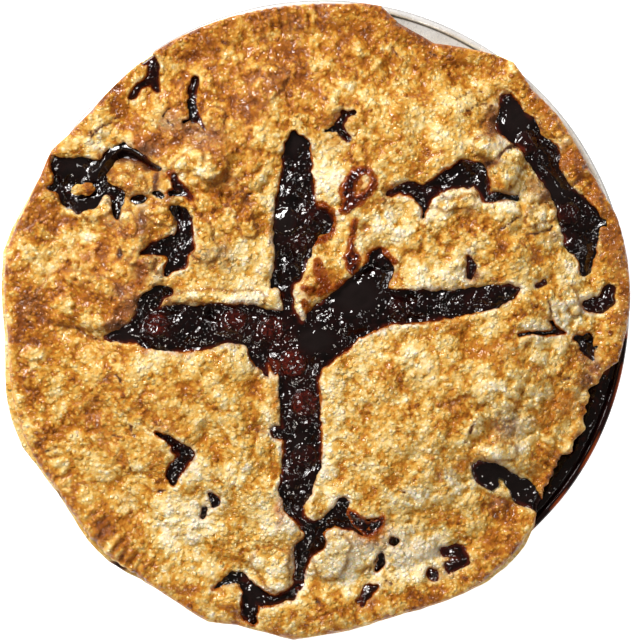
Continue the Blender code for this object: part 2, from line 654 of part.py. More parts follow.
def make_slab(name, loops, top_points, bottom_points, top, bottom, material, guides=((), ())):
    """A closed solid between two height functions over one region."""
    top_xy, top_faces = triangulate(loops, top_points, guides[0])
    low_xy, low_faces = triangulate(loops, bottom_points, guides[1])
    verts = [(x, y, z) for (x, y), z in zip(top_xy, top(top_xy[:, 0], top_xy[:, 1]))]
    verts += [(x, y, z) for (x, y), z in zip(low_xy, bottom(low_xy[:, 0], low_xy[:, 1]))]
    base = len(top_xy)
    below = {(round(x, 3), round(y, 3)): base + k for k, (x, y) in enumerate(low_xy)}
    faces = [tuple(face) for face in top_faces]
    faces += [(base + c, base + b, base + a) for a, b, c in low_faces]
    directed = {(f[k], f[(k + 1) % 3]) for f in top_faces for k in range(3)}
    for a, b in sorted(directed):
        if (b, a) not in directed:
            low_a = below[(round(top_xy[a][0], 3), round(top_xy[a][1], 3))]
            low_b = below[(round(top_xy[b][0], 3), round(top_xy[b][1], 3))]
            faces += [(b, a, low_a), (b, low_a, low_b)]
    return make_object(name, verts, faces, material)


def build_tin(material):
    """Pressed tin: floor, sloping wall, flat flange and rolled bead."""
    profile = [
        (TIN_FLOOR_RADIUS, 0.0), (109.0, 29.1), (116.7, 29.1), (117.3, 28.6), (118.6, 28.3),
        (RIM_RADIUS, 29.8), (118.6, 31.4), (117.2, 30.9), (116.7, TIN_FLANGE_TOP),
        (108.3, TIN_FLANGE_TOP), (92.0, 0.9),
    ]
    verts = []
    for radius, height in profile:
        for k in range(TIN_SEGMENTS):
            turn = 2.0 * math.pi * k / TIN_SEGMENTS
            verts.append((radius * math.cos(turn), radius * math.sin(turn), height))
    faces = []
    for ring in range(len(profile) - 1):
        for k in range(TIN_SEGMENTS):
            a = ring * TIN_SEGMENTS + k
            b = ring * TIN_SEGMENTS + (k + 1) % TIN_SEGMENTS
            faces += [(a, b, b + TIN_SEGMENTS), (a, b + TIN_SEGMENTS, a + TIN_SEGMENTS)]
    under = len(verts)
    verts += [(0.0, 0.0, 0.0), (0.0, 0.0, 0.9)]
    last = (len(profile) - 1) * TIN_SEGMENTS
    for k in range(TIN_SEGMENTS):
        n = (k + 1) % TIN_SEGMENTS
        faces += [(under, n, k), (under + 1, last + k, last + n)]
    return make_object("tin", verts, faces, material)


def crust_underside(x, y):
    """Bottom crust: underside, clear of the tin and over its bead."""
    radius = np.hypot(x, y)
    height = np.interp(radius, [0.0, 91.5, 107.0, 108.6], [1.4, 1.4, 29.2, 30.7])
    return height + 1.2 * smooth_step(112.0, 115.5, radius) - droop(radius)


def crust_inside(x, y):
    """Bottom crust: inner face and the flat that carries the lid."""
    radius = np.hypot(x, y)
    radii = [0.0, CRUST_WALL_FOOT, CRUST_WALL_HEAD, 104.6, 107.5]
    heights = [CRUST_FLOOR_TOP, CRUST_FLOOR_TOP, 30.0, 32.6, FLANGE_CRUST_TOP]
    return np.interp(radius, radii, heights) - droop(radius)


def build_bottom_crust(material):
    """Bottom crust: a shell in the tin with an uneven flange."""
    steps = np.arange(TIN_SEGMENTS) * 360.0 / TIN_SEGMENTS
    fine = np.arange(0.0, 360.0, 3.0)
    edge = outline_radius(fine) + 0.35 * noise(fine, fine * 0.0, 4.0, 8)
    lip = np.minimum(115.0, 108.6 + 0.5 * (outline_radius(steps) - 108.6))
    over = np.minimum(121.2, lip + 0.6 * (outline_radius(steps) - lip))
    under = [closed_ring(r, steps) for r in (91.5, 107.0, 108.6, lip, over)]
    upper = [closed_ring(r, steps) for r in (CRUST_WALL_FOOT, CRUST_WALL_HEAD, 104.6, 107.5, over)]
    return make_slab("bottom_crust", [ring_points(edge, fine)], [], [], crust_inside,
                     crust_underside, material, (upper, under))


def build_filling(material):
    """Filling: one body that runs through the pie and shows in the vents."""
    loops = region_loops(filling_distance, 0.8, 0.3, 8.5, 6.0)
    steps = np.arange(TIN_SEGMENTS) * 360.0 / TIN_SEGMENTS
    guides = []
    for inset, smallest in ((VENT_GAP, 12.0), (VENT_GAP + 0.5, 8.0)):
        for loop in contour_loops(lambda x, y: filling_vent(x, y) - inset, 0.8):
            if loop_area(loop) > smallest:
                guides += inner_runs(loop, filling_distance, 0.4, 0.25, 7.0)
    berries = np.vstack([ring_points(0.78 * s, np.arange(0, 360, 60)) + (bx, by)
                         for bx, by, s in BERRIES])
    berries = np.vstack([berries, [(bx, by) for bx, by, s in BERRIES]])
    field = hex_points(4.9, 122.0, 0.18)
    field = field[filling_vent(field[:, 0], field[:, 1]) > 2.2]
    field = clear_of(field, berries, 2.4)
    covered = hex_points(13.0, 84.0, 0.0)
    covered = covered[filling_vent(covered[:, 0], covered[:, 1]) < -2.0]
    shoulder = np.vstack([ring_points(r, steps) for r in (90.0, 97.5)])
    shoulder = shoulder[filling_vent(shoulder[:, 0], shoulder[:, 1]) < 0.0]
    upper = np.vstack([berries, field, covered, shoulder])
    upper = upper[filling_distance(upper[:, 0], upper[:, 1]) > 0.45]
    wall = np.vstack([ring_points(r, steps) for r in (CRUST_WALL_FOOT - 0.5, 101.6)])
    lip = np.vstack([ring_points(r, np.arange(0.0, 360.0, 2.0)) for r in (102.7, 103.9)])
    lip = lip[filling_distance(lip[:, 0], lip[:, 1]) > 0.5]
    return make_slab("filling", loops, upper, np.vstack([wall, lip]), filling_top,
                     filling_bottom, material, (guides, ()))


def build_rim_pools(material):
    """Small pools of syrup in the openings of the lid's rim."""
    for name, vent in RIM_POOLS.items():
        def pool_distance(x, y, vent=vent):
            radius, angle = polar(x, y)
            edge = lid_radius(angle) - 0.8 - radius
            return np.minimum(-vent_distance(x, y, [vent]) - 0.4, edge)

        def pool_top(x, y, vent=vent):
            depth = smooth_step(0.0, 2.0, pool_distance(x, y, vent))
            return lid_smooth_top(x, y) - 1.6 + 0.7 * depth

        def pool_bottom(x, y):
            return crust_inside(x, y) + 0.4 + 0.5 * (np.hypot(x, y) < 107.5)

        loops = region_loops(pool_distance, 0.4, 0.15, 4.0, 1.0)
        middle = [loops[0].mean(axis=0)]
        middle = [p for p in middle if pool_distance(np.array(p[0]), np.array(p[1])) > 0.4]
        make_slab(name, loops[:1], middle, [], pool_top, pool_bottom, material)


def lid_distance(x, y):
    """Above zero inside the lid's plan."""
    radius, angle = polar(x, y)
    return np.minimum(lid_radius(angle) - radius, crust_distance(x, y))


def rim_angles():
    """Angles for the rim: ridge and groove where it is crimped, wider steps elsewhere."""
    angles = []
    angle = 0.0
    while angle < 359.9:
        angles.append(angle)
        clear = crimp_strength(np.array(angle)) > 0.2
        angle += CRIMP_PITCH / 2.0 if clear else CRIMP_PITCH * 1.5
    return np.array(angles)


def build_lid(material):
    """Top crust: domed and craggy, with vents, cracks and a crimped rim."""
    loops = region_loops(lid_distance, 0.8, 0.24, 6.5, 2.0)
    worn = [loop for loop in contour_loops(lambda x, y: lid_distance(x, y) - 1.5, 0.8)
            if len(loop) > 12 and loop_area(loop) < 0.0]
    edge = even_points(worn, 4.6)
    angles = rim_angles()
    rings = np.vstack([ring_points(lid_radius(angles) - inset, angles) for inset in (2.4, 7.0)])
    coarse = np.arange(0.0, 360.0, 3.0)
    rings = np.vstack([rings, ring_points(lid_radius(coarse) - 11.5, coarse)])
    rings = rings[crust_distance(rings[:, 0], rings[:, 1]) > 1.6]
    rings = rings[lid_distance(rings[:, 0], rings[:, 1]) > 1.2]
    edge = clear_of(edge, rings, 2.0)
    field = hex_points(6.4, 124.0, 0.22)
    radius, angle = polar(field[:, 0], field[:, 1])
    field = field[lid_radius(angle) - radius > 14.0]
    field = field[crust_distance(field[:, 0], field[:, 1]) > 2.2]
    field = clear_of(field, edge, 2.6)
    low = hex_points(13.0, 84.0, 0.0)
    low = low[lid_distance(low[:, 0], low[:, 1]) > 2.0]
    seat = np.vstack([ring_points(r, coarse[::3]) for r in (90.0, 97.5, 103.0, 108.0)])
    seat = np.vstack([seat, ring_points(DROOP_START, coarse)])
    seat = seat[lid_distance(seat[:, 0], seat[:, 1]) > 0.8]
    return make_slab("top_crust", loops, np.vstack([edge, rings, field]), np.vstack([low, seat]),
                     lid_top, lid_under, material)


def build_edge_syrup(material):
    """Syrup that ran out at the tongue and set on the tin's flange."""
    out = np.arange(-14.0, -43.0, -1.5)
    inner = outline_radius(out % 360.0) + 0.7 + 0.3 * noise(out, out * 0.0, 3.0, 9)
    outer = np.full(len(out), 116.2)
    outer[0] = inner[0] + 1.5
    loop = np.vstack([ring_points(outer, out)[::-1], ring_points(inner, out)])
    middle = ring_points(0.5 * (inner + outer), out)[1:-1]

    def top(x, y):
        radius, angle = polar(x, y)
        across = (radius - outline_radius(angle)) / (116.2 - outline_radius(angle))
        swell = np.clip(1.0 - (2.0 * across - 1.0) ** 2, 0.0, 1.0)
        return 31.3 + 0.9 * swell

    def bottom(x, y):
        return np.full(len(x), TIN_FLANGE_TOP + 0.35)

    return make_slab("edge_syrup", [loop], middle, [], top, bottom, material)


def build_crumb(material):
    """Loose piece of crust that lies on the filling in the left hole."""
    cx, cy = CRUMB_CENTRE
    half_x, half_y, half_z = CRUMB_SIZE
    around = ring_points(half_y, np.arange(0.0, 360.0, 30.0)) * (half_x / half_y, 1.0) + (cx, cy)
    base = float(filling_top(around[:, 0], around[:, 1]).max()) + half_z + 0.2
    rings, segments = 4, 10
    verts = [(cx, cy, base - half_z)]
    for ring in range(1, rings):
        tilt = math.pi * ring / rings
        for k in range(segments):
            turn = 2.0 * math.pi * k / segments
            wide = 1.0 + 0.12 * math.sin(3.0 * turn + ring)
            verts.append((cx + half_x * wide * math.sin(tilt) * math.cos(turn),
                          cy + half_y * wide * math.sin(tilt) * math.sin(turn),
                          base - half_z * math.cos(tilt)))
    verts.append((cx, cy, base + half_z))
    faces = []
    for k in range(segments):
        n = (k + 1) % segments
        faces.append((0, 1 + n, 1 + k))
        for ring in range(rings - 2):
            a = 1 + ring * segments
            faces += [(a + k, a + n, a + segments + n), (a + k, a + segments + n, a + segments + k)]
        last = 1 + (rings - 2) * segments
        faces.append((last + k, last + n, len(verts) - 1))
    return make_object("crust_crumb", verts, faces, material)


def build():
    """Clear the scene and make every piece."""
    for piece in list(bpy.data.objects):
        bpy.data.objects.remove(piece, do_unlink=True)
    build_tin(make_material("tin_metal", (0.72, 0.72, 0.73), 0.35, 1.0))
    build_bottom_crust(make_material("under_crust", (0.72, 0.50, 0.24), 0.75))
    build_filling(make_material("berry_filling", (0.06, 0.008, 0.02), 0.25))
    build_rim_pools(make_material("rim_syrup", (0.05, 0.006, 0.015), 0.2))
    build_edge_syrup(make_material("flange_syrup", (0.05, 0.005, 0.01), 0.2))
    build_lid(make_material("lid_crust", (0.78, 0.52, 0.20), 0.6))
    build_crumb(make_material("crumb_crust", (0.62, 0.42, 0.18), 0.7))


build()
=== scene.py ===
"""Looks of the blueberry ginger pie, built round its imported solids.

Shapes are worked out in millimetres, in the frame of the solids: the tin's axis is Z, its flat
underside lies on Z = 0, X points to the photo's right and Y to its top. Places read off the
photo are given in its pixels and go through photo_point.
"""
import math

import bpy
import numpy as np
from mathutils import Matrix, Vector
from mathutils.geometry import delaunay_2d_cdt

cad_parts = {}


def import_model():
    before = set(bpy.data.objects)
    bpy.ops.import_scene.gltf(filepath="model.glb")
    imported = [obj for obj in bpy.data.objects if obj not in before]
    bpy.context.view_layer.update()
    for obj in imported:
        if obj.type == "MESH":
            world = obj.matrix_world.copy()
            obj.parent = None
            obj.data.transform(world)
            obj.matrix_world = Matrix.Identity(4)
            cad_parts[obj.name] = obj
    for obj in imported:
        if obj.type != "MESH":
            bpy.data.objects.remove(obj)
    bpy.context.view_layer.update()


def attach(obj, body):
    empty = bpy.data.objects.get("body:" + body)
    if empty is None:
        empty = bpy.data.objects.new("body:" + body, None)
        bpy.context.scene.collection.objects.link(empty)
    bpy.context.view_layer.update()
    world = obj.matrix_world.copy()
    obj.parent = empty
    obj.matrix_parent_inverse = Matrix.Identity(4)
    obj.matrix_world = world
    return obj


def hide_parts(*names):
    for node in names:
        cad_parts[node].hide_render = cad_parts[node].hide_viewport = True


MM = 0.001

# The photo: millimetres of pie for each pixel at the rim, and the pixel of the tin's axis.
PIXEL = 0.39
AXIS_PIXEL = (322.5, 306.8)
PHOTO_SIZE = (634, 641)

# Sizes shared with the solids
TIN_FLANGE_TOP = 30.0
DROOP_START = 121.5
DROOP_SLOPE = 0.3
LID_SEAT = 34.8
LID_STEP = 0.9
DOME_FOOT = 105.0
DOME_SHOULDER = 70.0
DOME_RISE = 9.4
CROWN_RISE = 1.5
LID_THICKNESS = 4.0
RIM_THICKNESS = 3.4
CRIMP_PITCH = 1.8
CRIMP_DEPTH = 1.1
FILLING_RADIUS = 103.0
UNDER_LID_GAP = 1.4

# Sections as (radius, height): the bottom crust's underside and inner face, and the filling's
# underside.
CRUST_UNDER = [(0.0, 1.4), (91.5, 1.4), (107.0, 29.2), (108.6, 30.7)]
CRUST_INNER = [(0.0, 4.9), (88.6, 4.9), (103.4, 30.0), (104.6, 32.6), (107.5, 34.2)]
FILLING_UNDER = [(0.0, 5.3), (88.1, 5.3), (101.6, 28.2), (102.6, 32.2), (103.8, 34.9)]

# Tin: thickness of its floor, and the rolled bead's middle (radius, height) and radius.
TIN_FLOOR = 0.9
BEAD_MIDDLE = (118.45, 29.85)
BEAD_RADIUS = 1.55

# Gaps between the points of a mesh
LID_SPACING = 0.8
FILLING_SPACING = 0.6
SYRUP_SPACING = 0.5
EDGE_STEP = 0.5

# How far from the axis such points are laid, and half the grid in which outlines are traced
PIE_REACH = 131.0
FILLING_REACH = 126.0
GRID_REACH = 136.0

# Radii of the rings of points on the crust's flat floor, and segments round the tin
FLOOR_RINGS = (40.0, 70.0)
TIN_SEGMENTS = 288

# Farther away than any stroke.
FAR = 1000.0

# Outline of the crust round the tin's axis: angle in degrees, radius.
OUTLINE = [
    (0, 119.6), (9, 120.1), (17, 119.9), (21, 118.3), (27, 116.8), (33, 117.1), (39, 118.1),
    (46, 117.5), (52, 120.8), (55, 119.4), (60, 115.8), (64, 113.2), (67, 111.4), (72, 113.0),
    (75, 114.3), (79, 119.4), (82, 119.4), (86, 118.2), (95, 118.0), (105, 118.4), (120, 119.0),
    (130, 118.6), (140, 118.0), (146, 119.6), (150, 122.0), (155, 121.2), (160, 122.2),
    (165, 124.6), (170, 126.4), (180, 125.3), (185, 124.6), (190, 126.0), (195, 128.0),
    (200, 129.2), (205, 129.5), (210, 127.5), (215, 126.4), (220, 127.4), (225, 129.5),
    (230, 129.9), (235, 128.4), (240, 128.0), (245, 129.0), (250, 131.0), (255, 128.8),
    (260, 129.2), (265, 130.6), (270, 128.4), (275, 126.8), (280, 124.8), (285, 124.0),
    (295, 124.7), (300, 125.2), (305, 124.6), (310, 122.6), (314, 119.0), (317, 114.2),
    (321, 112.6), (324, 111.7), (328, 111.4), (330, 113.0), (332, 112.3), (338, 110.9),
    (344, 110.7), (347, 112.2), (349.5, 117.0), (353, 117.8), (356, 118.6),
]

# How far the lid's edge stays inside the bottom crust's edge: angle, distance.
LID_INSET = [(0, -0.3), (155, -0.1), (165, 1.2), (185, 1.4), (195, 2.4), (205, 2.4), (210, 0.8),
             (218, 0.6), (226, 1.6), (232, 1.2), (240, 0.2), (298, 0.2), (304, 1.8), (311, 1.8),
             (316, -0.3), (359, -0.3)]

# Sector where the crust's edge is torn: middle angle, half width.
TORN = (331.0, 15.0)

# Where syrup ran out over the tin: first and last angle of the thick syrup, its outer radius, how
# far it reaches in under the crust's edge, and the middle angle of the thin film round it.
SYRUP_SECTOR = (-13.5, -44.5)
SYRUP_OUTER = 116.4
SYRUP_TUCK = 0.5
SYRUP_FILM_ANGLE = 334.0

# Sectors with fork marks: middle angle, half width, strength.
CRIMPED = [(229, 10, 1.0), (211, 14, 0.55), (325, 9, 1.0), (31, 19, 0.2), (98, 9, 0.9),
           (288, 18, 0.5)]

# Vents and cracks in the lid: strokes of (x, y, half width).
VENTS = {
    "north_arm": [
        [(-11.5, 67.0, 1.2), (-9.9, 61.2, 4.9), (-9.9, 49.5, 6.2), (-10.3, 39.7, 7.8),
         (-9.9, 30.7, 9.0), (-11.5, 22.2, 7.0), (-13.1, 14.4, 5.7), (-15.4, 8.9, 4.7),
         (-13.5, 3.8, 1.8), (-12.3, -1.2, 2.3)],
        [(-4.1, 33.1, 5.9), (-0.2, 33.1, 4.7)],
    ],
    "west_arm": [
        [(-84.0, -12.2, 0.8), (-75.9, -10.6, 3.1), (-67.3, -8.3, 7.4), (-57.5, -8.3, 9.0),
         (-47.8, -8.3, 8.6), (-38.0, -6.3, 7.2), (-28.3, -7.1, 7.8), (-18.5, -11.0, 9.4),
         (-8.8, -12.9, 10.1)],
        [(-71.2, -4.4, 2.3), (-66.5, 1.9, 3.9), (-64.2, 5.4, 3.1), (-59.5, 5.8, 1.6)],
        [(-26.3, -14.9, 3.1), (-23.6, -21.5, 2.7), (-19.7, -25.4, 2.0)],
    ],
    "east_arm": [
        [(20.9, 19.8, 2.5), (22.4, 14.4, 5.1), (15.4, 4.2, 8.6), (4.9, -7.1, 10.5),
         (-4.9, -14.9, 10.1)],
        [(8.8, -4.4, 9.4), (21.6, -0.1, 7.4), (32.2, -0.1, 6.2), (41.9, 0.3, 5.9),
         (53.6, 1.5, 4.9), (65.3, 3.8, 4.7), (72.3, 5.8, 3.1), (75.9, 6.6, 1.0)],
    ],
    "south_arm": [
        [(-8.0, -14.9, 10.1), (-9.2, -28.5, 7.6), (-8.4, -42.6, 7.6), (-7.6, -51.9, 7.2),
         (-8.0, -60.9, 7.2), (-10.7, -70.7, 6.4), (-11.5, -77.3, 3.7), (-8.4, -83.1, 2.0),
         (-3.3, -86.7, 3.1), (-2.9, -91.3, 3.7), (-7.2, -94.8, 3.7), (-8.8, -102.6, 2.0),
         (-9.2, -108.1, 2.0), (-12.3, -112.4, 2.0), (-18.1, -114.3, 1.6), (-24.4, -113.6, 2.7),
         (-28.3, -110.4, 2.7), (-30.6, -106.5, 2.3), (-35.3, -105.4, 1.8), (-39.2, -107.7, 1.2),
         (-42.7, -110.1, 0.5)],
        [(-28.3, -114.3, 3.3), (-28.7, -119.4, 2.7), (-27.1, -122.5, 1.6)],
        [(-17.7, -48.8, 2.1), (-11.9, -49.6, 3.1)],
        [(-3.3, -86.7, 3.1), (1.8, -83.5, 2.3), (6.0, -80.4, 2.9), (8.0, -76.1, 1.8)],
        [(5.3, -82.0, 2.3), (11.5, -85.1, 2.3), (17.0, -85.9, 2.9), (21.3, -84.3, 2.0)],
    ],
    "crack_top_left": [
        [(-66.5, 97.0, 1.4), (-65.5, 93.5, 2.3), (-66.1, 88.5, 2.1), (-64.2, 84.2, 0.9)],
        [(-66.9, 88.5, 2.0), (-70.8, 86.1, 1.2), (-74.7, 81.4, 0.9)],
        [(-69.6, 95.1, 1.0), (-66.5, 96.3, 1.2)],
    ],
    "crack_upper_left": [
        [(-49.7, 88.1, 1.4), (-50.5, 83.8, 1.6), (-50.9, 78.3, 1.4), (-50.1, 73.6, 2.0),
         (-47.4, 72.5, 0.8), (-45.4, 68.2, 0.4)],
        [(-54.0, 71.7, 0.6), (-50.5, 73.6, 1.2)],
    ],
    "hole_left": [
        [(-104.7, 57.3, 1.6), (-100.0, 53.0, 5.1), (-94.6, 53.0, 5.1), (-89.1, 52.6, 4.7),
         (-85.6, 54.9, 3.1), (-82.1, 58.8, 2.5), (-78.2, 61.0, 2.5), (-73.9, 59.8, 2.0),
         (-69.6, 57.3, 1.6), (-65.7, 54.5, 1.4), (-63.4, 53.4, 0.8)],
        [(-100.0, 53.0, 4.7), (-102.0, 47.1, 3.1), (-99.3, 42.0, 2.9), (-95.4, 39.7, 3.1),
         (-90.7, 41.7, 3.7), (-86.8, 46.3, 3.5), (-88.3, 51.0, 3.9)],
        [(-106.7, 46.3, 0.6), (-102.4, 47.1, 2.7)],
        [(-86.8, 47.9, 2.3), (-82.9, 45.6, 2.1), (-79.0, 43.2, 2.7), (-79.8, 38.1, 1.6),
         (-79.8, 35.0, 0.6)],
    ],
    "slit_left": [
        [(-73.1, 41.7, 1.6), (-70.4, 42.0, 1.8)],
        [(-65.3, 44.4, 0.6), (-62.2, 42.8, 0.9)],
    ],
    "slit_red": [
        [(-57.5, 50.2, 0.5), (-56.4, 47.1, 1.4), (-53.6, 44.4, 1.6), (-51.3, 42.4, 0.5)],
        [(-58.7, 44.0, 0.7), (-54.8, 44.4, 1.6)],
    ],
    "hole_mid_left": [
        [(-57.9, 38.1, 1.0), (-54.4, 35.0, 3.1), (-52.8, 30.3, 2.9), (-54.0, 24.1, 4.1),
         (-57.1, 21.8, 4.3), (-55.6, 17.9, 3.3), (-59.1, 15.1, 2.0), (-60.6, 12.8, 0.6)],
        [(-58.7, 23.3, 3.9), (-63.4, 22.9, 2.9), (-67.7, 21.4, 1.2), (-70.4, 20.6, 0.5)],
    ],
    "hole_top": [
        [(11.9, 75.6, 1.1), (8.4, 74.4, 1.6), (6.8, 70.9, 1.8), (7.6, 67.4, 1.6),
         (9.9, 65.4, 0.9)],
        [(5.7, 69.0, 1.2), (1.4, 68.2, 0.5)],
    ],
    "crack_right": [
        [(25.5, 43.6, 0.8), (30.2, 45.6, 2.1), (34.9, 45.6, 3.3), (39.6, 42.8, 3.5),
         (39.6, 38.5, 1.2), (39.2, 34.6, 0.4)],
        [(39.6, 43.6, 3.5), (44.7, 46.7, 3.1), (49.7, 49.5, 4.3), (55.2, 51.4, 5.2),
         (59.5, 51.6, 3.9), (61.4, 48.3, 2.9), (63.4, 42.8, 1.8), (69.2, 42.8, 1.2),
         (75.1, 42.2, 0.6)],
    ],
    "arc_spill": [
        [(72.3, 80.3, 2.7), (73.1, 76.4, 3.9), (73.9, 71.3, 5.9), (78.2, 68.6, 5.9),
         (81.7, 63.9, 4.9), (86.4, 58.4, 6.0), (87.9, 52.6, 4.3), (92.6, 45.9, 4.1),
         (97.3, 38.5, 6.0), (100.4, 33.1, 7.8), (100.8, 26.8, 6.6), (102.8, 21.0, 3.9),
         (102.4, 15.1, 2.0), (102.0, 12.8, 0.8)],
        [(104.3, 33.1, 4.7), (109.0, 32.7, 1.2)],
    ],
    "slit_mid_right": [
        [(56.4, 19.4, 0.5), (57.9, 15.9, 1.6), (57.1, 11.6, 1.2)],
    ],
    "dot_right": [
        [(83.3, 8.1, 1.2), (86.0, 9.3, 1.2)],
    ],
    "hole_right": [
        [(111.7, 6.2, 2.6), (111.0, 2.7, 3.5), (108.6, 0.7, 3.1), (104.7, 0.7, 2.7),
         (102.4, 1.5, 1.2)],
    ],
    "crack_far_right": [
        [(89.1, -5.9, 0.4), (91.1, -9.4, 1.4), (94.2, -10.2, 0.4)],
        [(98.9, -12.2, 1.4), (102.4, -13.7, 3.1), (103.9, -17.6, 2.2), (105.5, -20.7, 0.9)],
        [(100.5, -16.5, 0.6), (103.9, -17.6, 1.6), (107.0, -15.5, 0.5)],
        [(76.6, -11.0, 0.3), (81.3, -10.2, 0.5), (86.8, -10.4, 0.3), (91.1, -9.4, 1.2)],
    ],
    "tongue": [
        [(61.4, -63.6, 3.1), (63.0, -66.0, 3.5), (66.5, -68.7, 2.0)],
        [(61.4, -62.9, 2.7), (66.1, -63.3, 2.5), (70.8, -65.2, 2.1), (74.7, -68.7, 2.5),
         (77.8, -71.8, 4.1), (80.9, -74.6, 3.5), (84.0, -77.3, 2.1), (87.6, -80.0, 2.3),
         (91.1, -83.1, 2.7)],
    ],
    "hole_low_left": [
        [(-64.5, -49.2, 0.5), (-60.3, -51.2, 1.2), (-56.7, -54.7, 2.0), (-52.5, -57.0, 2.5),
         (-54.8, -60.5, 2.5), (-57.9, -64.8, 2.7), (-57.9, -67.9, 1.2)],
    ],
    "slit_low_left": [
        [(-43.9, -73.0, 0.7), (-41.5, -75.7, 1.5), (-42.3, -77.7, 0.9)],
        [(-45.8, -78.9, 1.3), (-46.6, -82.4, 0.9)],
    ],
    "slit_bottom": [
        [(23.0, -97.6, 1.2), (22.6, -100.3, 1.6), (21.3, -102.6, 0.6)],
    ],
    "dot_bottom_left": [
        [(27.3, -91.3, 1.6), (28.0, -91.5, 1.6)],
    ],
    "hole_bottom_right": [
        [(47.8, -95.6, 2.0), (52.8, -95.6, 2.5), (55.2, -98.7, 1.9), (50.1, -101.1, 2.7),
         (49.3, -103.4, 0.9)],
    ],
    "dot_bottom_right": [
        [(43.0, -104.2, 1.8), (43.5, -104.2, 1.8)],
    ],
    "slit_rim_bottom": [
        [(20.5, -109.7, 0.9), (18.5, -110.4, 1.6), (16.6, -113.2, 1.7), (15.8, -116.3, 0.6)],
        [(16.6, -113.6, 1.2), (13.8, -114.7, 0.6)],
    ],
}

# Crust that stays inside a vent.
FLAPS = {
    "nub": [(-26.3, 5.8, 2.3), (-22.6, 5.6, 2.2), (-19.1, 4.3, 3.5)],
    "strip": [(-57.1, 3.0, 1.6), (-47.8, 3.8, 2.3), (-32.2, 4.2, 2.3), (-23.6, 5.8, 2.7)],
    "tooth": [(-8.8, 7.3, 2.7), (-8.8, 1.9, 2.5), (-7.6, -4.4, 1.6)],
    "sliver": [(-19.7, -42.2, 3.5), (-19.3, -34.4, 2.3), (-19.7, -27.8, 1.6), (-20.9, -22.3, 0.7)],
    "triangle": [(75.5, 57.3, 2.7), (72.3, 54.1, 5.1), (69.2, 48.7, 4.7)],
}

# Openings outside the tin's mouth, where a pool of syrup of its own shows.
RIM_POOLS = {
    "syrup_pool_top_left": "crack_top_left",
    "syrup_pool_right": "hole_right",
    "syrup_pool_bottom": "hole_bottom_right",
    "syrup_pool_bottom_dot": "dot_bottom_right",
    "syrup_pool_bottom_slit": "slit_rim_bottom",
}

# Broad swellings of the lid: x, y, reach, height.
SWELLINGS = [
    (55.0, 76.0, 20.0, 2.6), (-42.0, 56.0, 16.0, 1.8), (-100.0, 8.0, 14.0, 1.4),
    (-79.0, 8.0, 14.0, 1.6), (69.0, 28.0, 15.0, 1.6), (-18.0, -96.0, 11.0, 2.0),
    (17.0, -97.0, 15.0, 1.8), (-60.0, -33.0, 22.0, 1.2), (36.0, -38.0, 28.0, 1.4),
    (-38.0, 26.0, 14.0, 1.2), (20.0, 52.0, 16.0, 1.0), (70.0, -30.0, 16.0, 1.0),
]

# Folds and dents of the lid's upper face: strokes of (x, y, half width), depth.
FOLDS = [
    ([(28.0, 92.0, 3.0), (42.0, 87.5, 4.0), (55.0, 90.0, 4.0), (69.0, 95.0, 3.0)], 1.8),
    ([(-102.0, -8.5, 1.0), (-94.0, -9.5, 1.5), (-84.0, -12.2, 1.5)], 1.6),
    ([(75.0, 42.2, 0.8), (86.0, 36.0, 1.2)], 1.0),
    ([(-58.0, 62.0, 2.0), (-44.0, 66.0, 3.0), (-30.0, 72.0, 3.0)], 1.2),
    ([(60.0, -30.0, 2.0), (66.0, -42.0, 3.0), (60.0, -54.0, 2.0)], 1.0),
    ([(-45.0, -48.0, 2.0), (-34.0, -66.0, 3.0), (-30.0, -90.0, 2.0)], 1.0),
    ([(-90.0, -40.0, 2.0), (-70.0, -48.0, 2.5)], 1.0),
]

# Whole berries that stand up in the filling: x, y, radius.
BERRIES = [
    (-11.5, -21.9, 5.6), (-6.8, -37.5, 5.4), (-19.7, -9.0, 5.2), (-34.1, -5.1, 5.0),
    (-64.2, -7.1, 4.8), (-14.4, 33.0, 5.4), (-7.0, -58.0, 5.0), (30.0, -1.0, 4.6),
    (96.0, 36.0, 4.6), (80.0, 64.0, 4.8), (-3.6, 31.0, 3.6),
]

# How red each of those berries looks.
BERRY_RED = [1.0, 0.9, 0.8, 0.7, 0.8, 0.15, 0.4, 0.2, 0.2, 0.2, 0.1]

# The torn flap that sank in the left hole: line of the hole's upper edge, and how deep it sank.
SUNK_EDGE = [(-95.0, 54.0), (-86.8, 56.5), (-82.1, 59.5), (-78.2, 61.5), (-73.9, 60.3),
             (-69.6, 57.5), (-64.0, 54.0)]
SUNK_DEPTH = 4.6

CRUMB_CENTRE = (-93.2, 45.7)
CRUMB_SIZE = (4.4, 2.8, 1.8)

